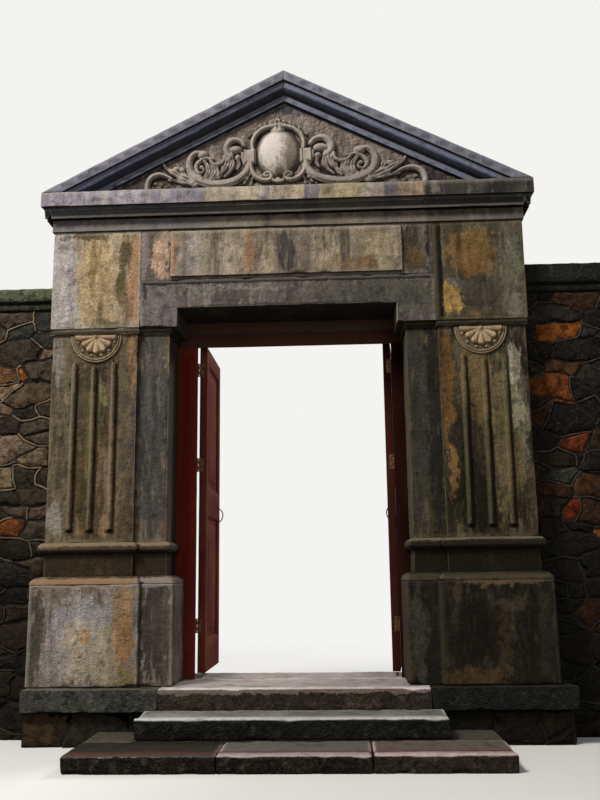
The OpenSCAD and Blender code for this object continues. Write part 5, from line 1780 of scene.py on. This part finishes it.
def screw_tree():
    """Geometry Nodes that sink a slotted screw on each point of a mesh, facing along the
    point's own direction, with its head a third of a millimetre proud."""
    sockets = (("Geometry", "Geometry"), ("Radius", "Float"), ("Material", "Material"))
    tree, given = new_group("screw heads", "GeometryNodeTree", sockets, ("Geometry", "Geometry"))
    head = add(tree, "GeometryNodeMeshCylinder", {"Vertices": 14, "Radius": given["Radius"],
                                                  "Depth": 0.0024})
    slot = add(tree, "GeometryNodeMeshCube", {"Size": (0.0012, 0.02, 0.0012)})
    lifted = add(tree, "GeometryNodeTransform", {"Geometry": slot.outputs[0],
                                                 "Translation": (0, 0, 0.0012)})
    cut = add(tree, "GeometryNodeMeshBoolean", {0: head.outputs[0], 1: lifted.outputs[0]},
              operation="DIFFERENCE")
    sunk = add(tree, "GeometryNodeTransform", {"Geometry": cut.outputs[0],
                                               "Translation": (0, 0, -0.0009)})
    facing = add(tree, "GeometryNodeInputNamedAttribute", {"Name": "facing"},
                 data_type="FLOAT_VECTOR")
    turn = add(tree, "FunctionNodeAlignRotationToVector", {"Vector": facing.outputs[0]}, axis="Z")
    points = add(tree, "GeometryNodeInstanceOnPoints", {"Points": given["Geometry"],
                                                        "Instance": sunk.outputs[0],
                                                        "Rotation": turn.outputs[0]})
    return end_tree(tree, points.outputs[0], given["Material"])


def screw_places(node, pin, facing):
    """Three staggered places down each hinge flap that turns its face the given way, on the
    side away from the pin."""
    whole = merged(node)
    along = facing.cross(Vector((0, 0, 1)))
    places = []
    for part in solids(whole):
        part.normal_update()
        flaps = [f for f in part.faces if f.normal.dot(facing) > 0.99]
        flap = max(flaps, key=lambda f: f.calc_area(), default=None)
        if flap and abs(flap.verts[0].co.x - pin.x) < FLAP_REACH:
            corners = [v.co.copy() for v in flap.verts]
            far = max(corners, key=lambda c: abs((c - pin).dot(along)))
            inward = along if (pin - far).dot(along) > 0 else -along
            low = min(c.z for c in corners)
            tall = max(c.z for c in corners) - low
            for share, inset in ((0.16, 0.014), (0.5, 0.024), (0.84, 0.014)):
                at = far + inward * inset
                places.append((at.x, at.y, low + share * tall))
        part.free()
    whole.free()
    return places


class GATEWAY_OT_ironmongery(bpy.types.Operator):
    """Gives the hinges and the bow handles their brass, and sets the hinge screws"""
    bl_idname = "gateway.ironmongery"
    bl_label = "Hinges and handles"

    def execute(self, context):
        brass = dull_brass("dulled brass")
        tree = screw_tree()
        for node in ("frame_hinges", "left_leaf_hinges", "right_leaf_hinges",
                     "left_pull_handle", "right_pull_handle"):
            coat(frame["nodes"][node].data, brass)
        for side, body in (("left", LEFT_LEAF), ("right", RIGHT_LEAF)):
            carry = leaf_place(side)
            pin = carry.translation
            outward = Vector((-1 if side == "right" else 1, 0, 0))
            edge = (carry.to_3x3() @ Vector((-1, 0, 0))).normalized()
            for node, facing, rider in (("frame_hinges", outward, GATEWAY),
                                        (side + "_leaf_hinges", edge, body)):
                places = screw_places(node, pin, facing)
                if not places:
                    raise RuntimeError("no flap of " + node + " for its screws")
                net = bpy.data.meshes.new("screw_places")
                net.from_pydata(places, [], [])
                turned = net.attributes.new("facing", "FLOAT_VECTOR", "POINT")
                turned.data.foreach_set("vector", list(facing) * len(places))
                mesh = run_tree(net, "screw_places", tree, {"Radius": SCREW_RADIUS,
                                                            "Material": brass})
                name = side + ("_frame" if rider == GATEWAY else "_leaf") + "_hinge_screws"
                place_mesh(mesh, name, brass, rider)
        return {"FINISHED"}


STEPS = (GATEWAY_OT_stage, GATEWAY_OT_piers, GATEWAY_OT_entablature, GATEWAY_OT_gable,
         GATEWAY_OT_relief, GATEWAY_OT_rosettes, GATEWAY_OT_rubble, GATEWAY_OT_slabs,
         GATEWAY_OT_doors, GATEWAY_OT_ironmongery)


GROUPS = (("gateway_wear", GatewayWear), ("gateway_rubble", GatewayRubble),
          ("gateway_finish", GatewayFinish))


class GATEWAY_PT_sidebar(bpy.types.Panel):
    """Lists the sizes and the steps"""
    bl_label = "Garden Gateway"
    bl_idname = "GATEWAY_PT_sidebar"
    bl_space_type = "VIEW_3D"
    bl_region_type = "UI"
    bl_category = "Gateway"

    def draw(self, context):
        for name, group in GROUPS:
            for value in group.__annotations__:
                self.layout.prop(getattr(context.scene, name), value)
        for step in STEPS:
            self.layout.operator(step.bl_idname)


def register():
    """Adds the classes, and their values to the scene."""
    for name, group in GROUPS:
        bpy.utils.register_class(group)
        setattr(bpy.types.Scene, name, PointerProperty(type=group))
    for step in STEPS:
        bpy.utils.register_class(step)
    bpy.utils.register_class(GATEWAY_PT_sidebar)


def unregister():
    """Takes the classes and their values away again."""
    bpy.utils.unregister_class(GATEWAY_PT_sidebar)
    for step in reversed(STEPS):
        bpy.utils.unregister_class(step)
    for name, group in reversed(GROUPS):
        delattr(bpy.types.Scene, name)
        bpy.utils.unregister_class(group)


def main():
    """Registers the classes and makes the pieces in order."""
    register()
    for step in STEPS:
        area, name = step.bl_idname.split(".")
        getattr(getattr(bpy.ops, area), name)()


if __name__ == "__main__":
    main()
